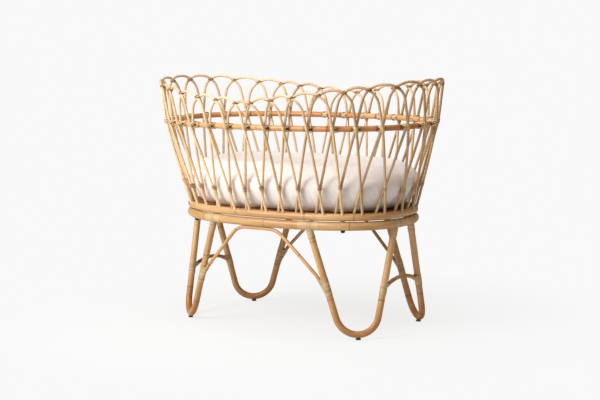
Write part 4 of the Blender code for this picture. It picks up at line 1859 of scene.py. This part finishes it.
class BASSINET_OT_set_stage(bpy.types.Operator):
    """Sets the pale floor, the soft light and the camera"""

    bl_idname = "bassinet.set_stage"
    bl_label = "Set the stage"

    def execute(self, context):
        settings = context.scene.bassinet_stage
        self.floor(context)
        self.room(context, settings)
        self.lights(settings)
        self.camera(context, settings)
        return {"FINISHED"}

    def floor(self, context):
        deselect()
        bpy.ops.mesh.primitive_circle_add(
            vertices=96, radius=400.0, fill_type="TRIFAN", location=(0, 0, -0.0002)
        )
        floor = context.object
        floor.name = "studio_floor"
        bpy.ops.object.transform_apply(location=True, rotation=True, scale=True)
        material, tree, shader = graph("studio_paper")
        shader.inputs["Base Color"].default_value = (0.82, 0.82, 0.82, 1)
        shader.inputs["Roughness"].default_value = 1.0
        shader.inputs["Specular IOR Level"].default_value = 0.0
        glow = node(tree, "ShaderNodeEmission")
        glow.inputs["Color"].default_value = BACKDROP
        seen = node(tree, "ShaderNodeLightPath")
        spot = node(tree, "ShaderNodeVectorMath", operation="LENGTH")
        tree.links.new(object_mapped(tree, (1.0, 1.0, 1.0)), spot.inputs[0])
        lit = between(tree, spot.outputs["Value"], LIT_FROM, LIT_TO, 0.84, 1.0)
        share = reckon(tree, "MULTIPLY", seen.outputs["Is Camera Ray"], lit)
        mixed = node(tree, "ShaderNodeMixShader")
        tree.links.new(share, mixed.inputs["Fac"])
        tree.links.new(shader.outputs["BSDF"], mixed.inputs[1])
        tree.links.new(glow.outputs["Emission"], mixed.inputs[2])
        out = tree.nodes["Material Output"]
        tree.links.new(mixed.outputs["Shader"], out.inputs["Surface"])
        floor.data.materials.append(material)

    def room(self, context, settings):
        world = bpy.data.worlds.new("studio_room")
        context.scene.world = world
        world.use_nodes = True
        tree = world.node_tree
        tree.nodes.clear()
        out = node(tree, "ShaderNodeOutputWorld")
        seen = node(tree, "ShaderNodeLightPath")
        dim = node(tree, "ShaderNodeBackground")
        dim.inputs["Color"].default_value = ROOM_TINT
        dim.inputs["Strength"].default_value = settings.ambient
        bright = node(tree, "ShaderNodeBackground")
        bright.inputs["Color"].default_value = BACKDROP
        bright.inputs["Strength"].default_value = 1.0
        mixed = node(tree, "ShaderNodeMixShader")
        tree.links.new(seen.outputs["Is Camera Ray"], mixed.inputs["Fac"])
        tree.links.new(dim.outputs["Background"], mixed.inputs[1])
        tree.links.new(bright.outputs["Background"], mixed.inputs[2])
        tree.links.new(mixed.outputs["Shader"], out.inputs["Surface"])
        context.scene.view_settings.view_transform = "Standard"
        context.scene.view_settings.look = "Medium High Contrast"

    def lights(self, settings):
        toward = Vector((math.sin(settings.azimuth), -math.cos(settings.azimuth), 0.0))
        left = Vector((-math.cos(settings.azimuth), -math.sin(settings.azimuth), 0.0))
        up = Vector((0.0, 0.0, 1.0))
        middle = Vector((0.0, 0.0, 0.45))
        for name, aim, far, size, power in (
            ("key_light", left * 0.80 + toward * 0.45 + up * 0.62, 3.0, 1.8, settings.key_power),
            ("top_light", up - left * 0.05 + toward * 0.2, 2.8, 2.4, settings.key_power * 0.44),
        ):
            light = bpy.data.lights.new(name, "AREA")
            light.shape = "DISK"
            light.size = size
            light.energy = power
            light.color = LAMP_COLOUR
            lamp = bpy.data.objects.new(name, light)
            lamp.location = middle + aim.normalized() * far
            lamp.rotation_euler = aim.to_track_quat("Z", "Y").to_euler()
            bpy.context.scene.collection.objects.link(lamp)

    def camera(self, context, settings):
        data = bpy.data.cameras.new("studio_camera")
        data.lens = settings.lens
        data.sensor_width = 36.0
        camera = bpy.data.objects.new("studio_camera", data)
        context.scene.collection.objects.link(camera)
        camera.location = (
            settings.distance * math.sin(settings.azimuth),
            -settings.distance * math.cos(settings.azimuth),
            settings.height,
        )
        level = Euler((math.pi / 2 - settings.pitch, 0.0, settings.azimuth)).to_matrix()
        rolled = Euler((0.0, 0.0, settings.roll)).to_matrix()
        camera.rotation_euler = (level @ rolled).to_euler()
        context.scene.camera = camera


# ---------------------------------------------------------------- panel and registration


class BASSINET_PT_panel(bpy.types.Panel):
    """Lists the steps that build the bassinet"""

    bl_label = "Rattan bassinet"
    bl_idname = "BASSINET_PT_panel"
    bl_space_type = "VIEW_3D"
    bl_region_type = "UI"
    bl_category = "Bassinet"

    def draw(self, context):
        for step in STEPS:
            self.layout.operator(step.bl_idname)


STEPS = (
    BASSINET_OT_set_stage,
    BASSINET_OT_lay_rings,
    BASSINET_OT_lay_rail,
    BASSINET_OT_bend_hoops,
    BASSINET_OT_bend_legs,
    BASSINET_OT_fit_braces,
    BASSINET_OT_bind_rail,
    BASSINET_OT_tie_hoops,
    BASSINET_OT_wrap_stand,
    BASSINET_OT_turn_hardware,
    BASSINET_OT_cut_base_board,
    BASSINET_OT_fill_mattress,
)
SETTINGS = {
    "bassinet_rods": BassinetRodSettings,
    "bassinet_peel": BassinetPeelSettings,
    "bassinet_mattress": BassinetMattressSettings,
    "bassinet_colours": BassinetColours,
    "bassinet_stage": BassinetStageSettings,
}


def register():
    for group in SETTINGS.values():
        bpy.utils.register_class(group)
    for name, group in SETTINGS.items():
        setattr(bpy.types.Scene, name, bpy.props.PointerProperty(type=group))
    for step in STEPS:
        bpy.utils.register_class(step)
    bpy.utils.register_class(BASSINET_PT_panel)


def unregister():
    bpy.utils.unregister_class(BASSINET_PT_panel)
    for step in reversed(STEPS):
        bpy.utils.unregister_class(step)
    for name, group in SETTINGS.items():
        delattr(bpy.types.Scene, name)
        bpy.utils.unregister_class(group)


def main():
    register()
    for step in STEPS:
        area, action = step.bl_idname.split(".")
        getattr(getattr(bpy.ops, area), action)()


if __name__ == "__main__":
    main()
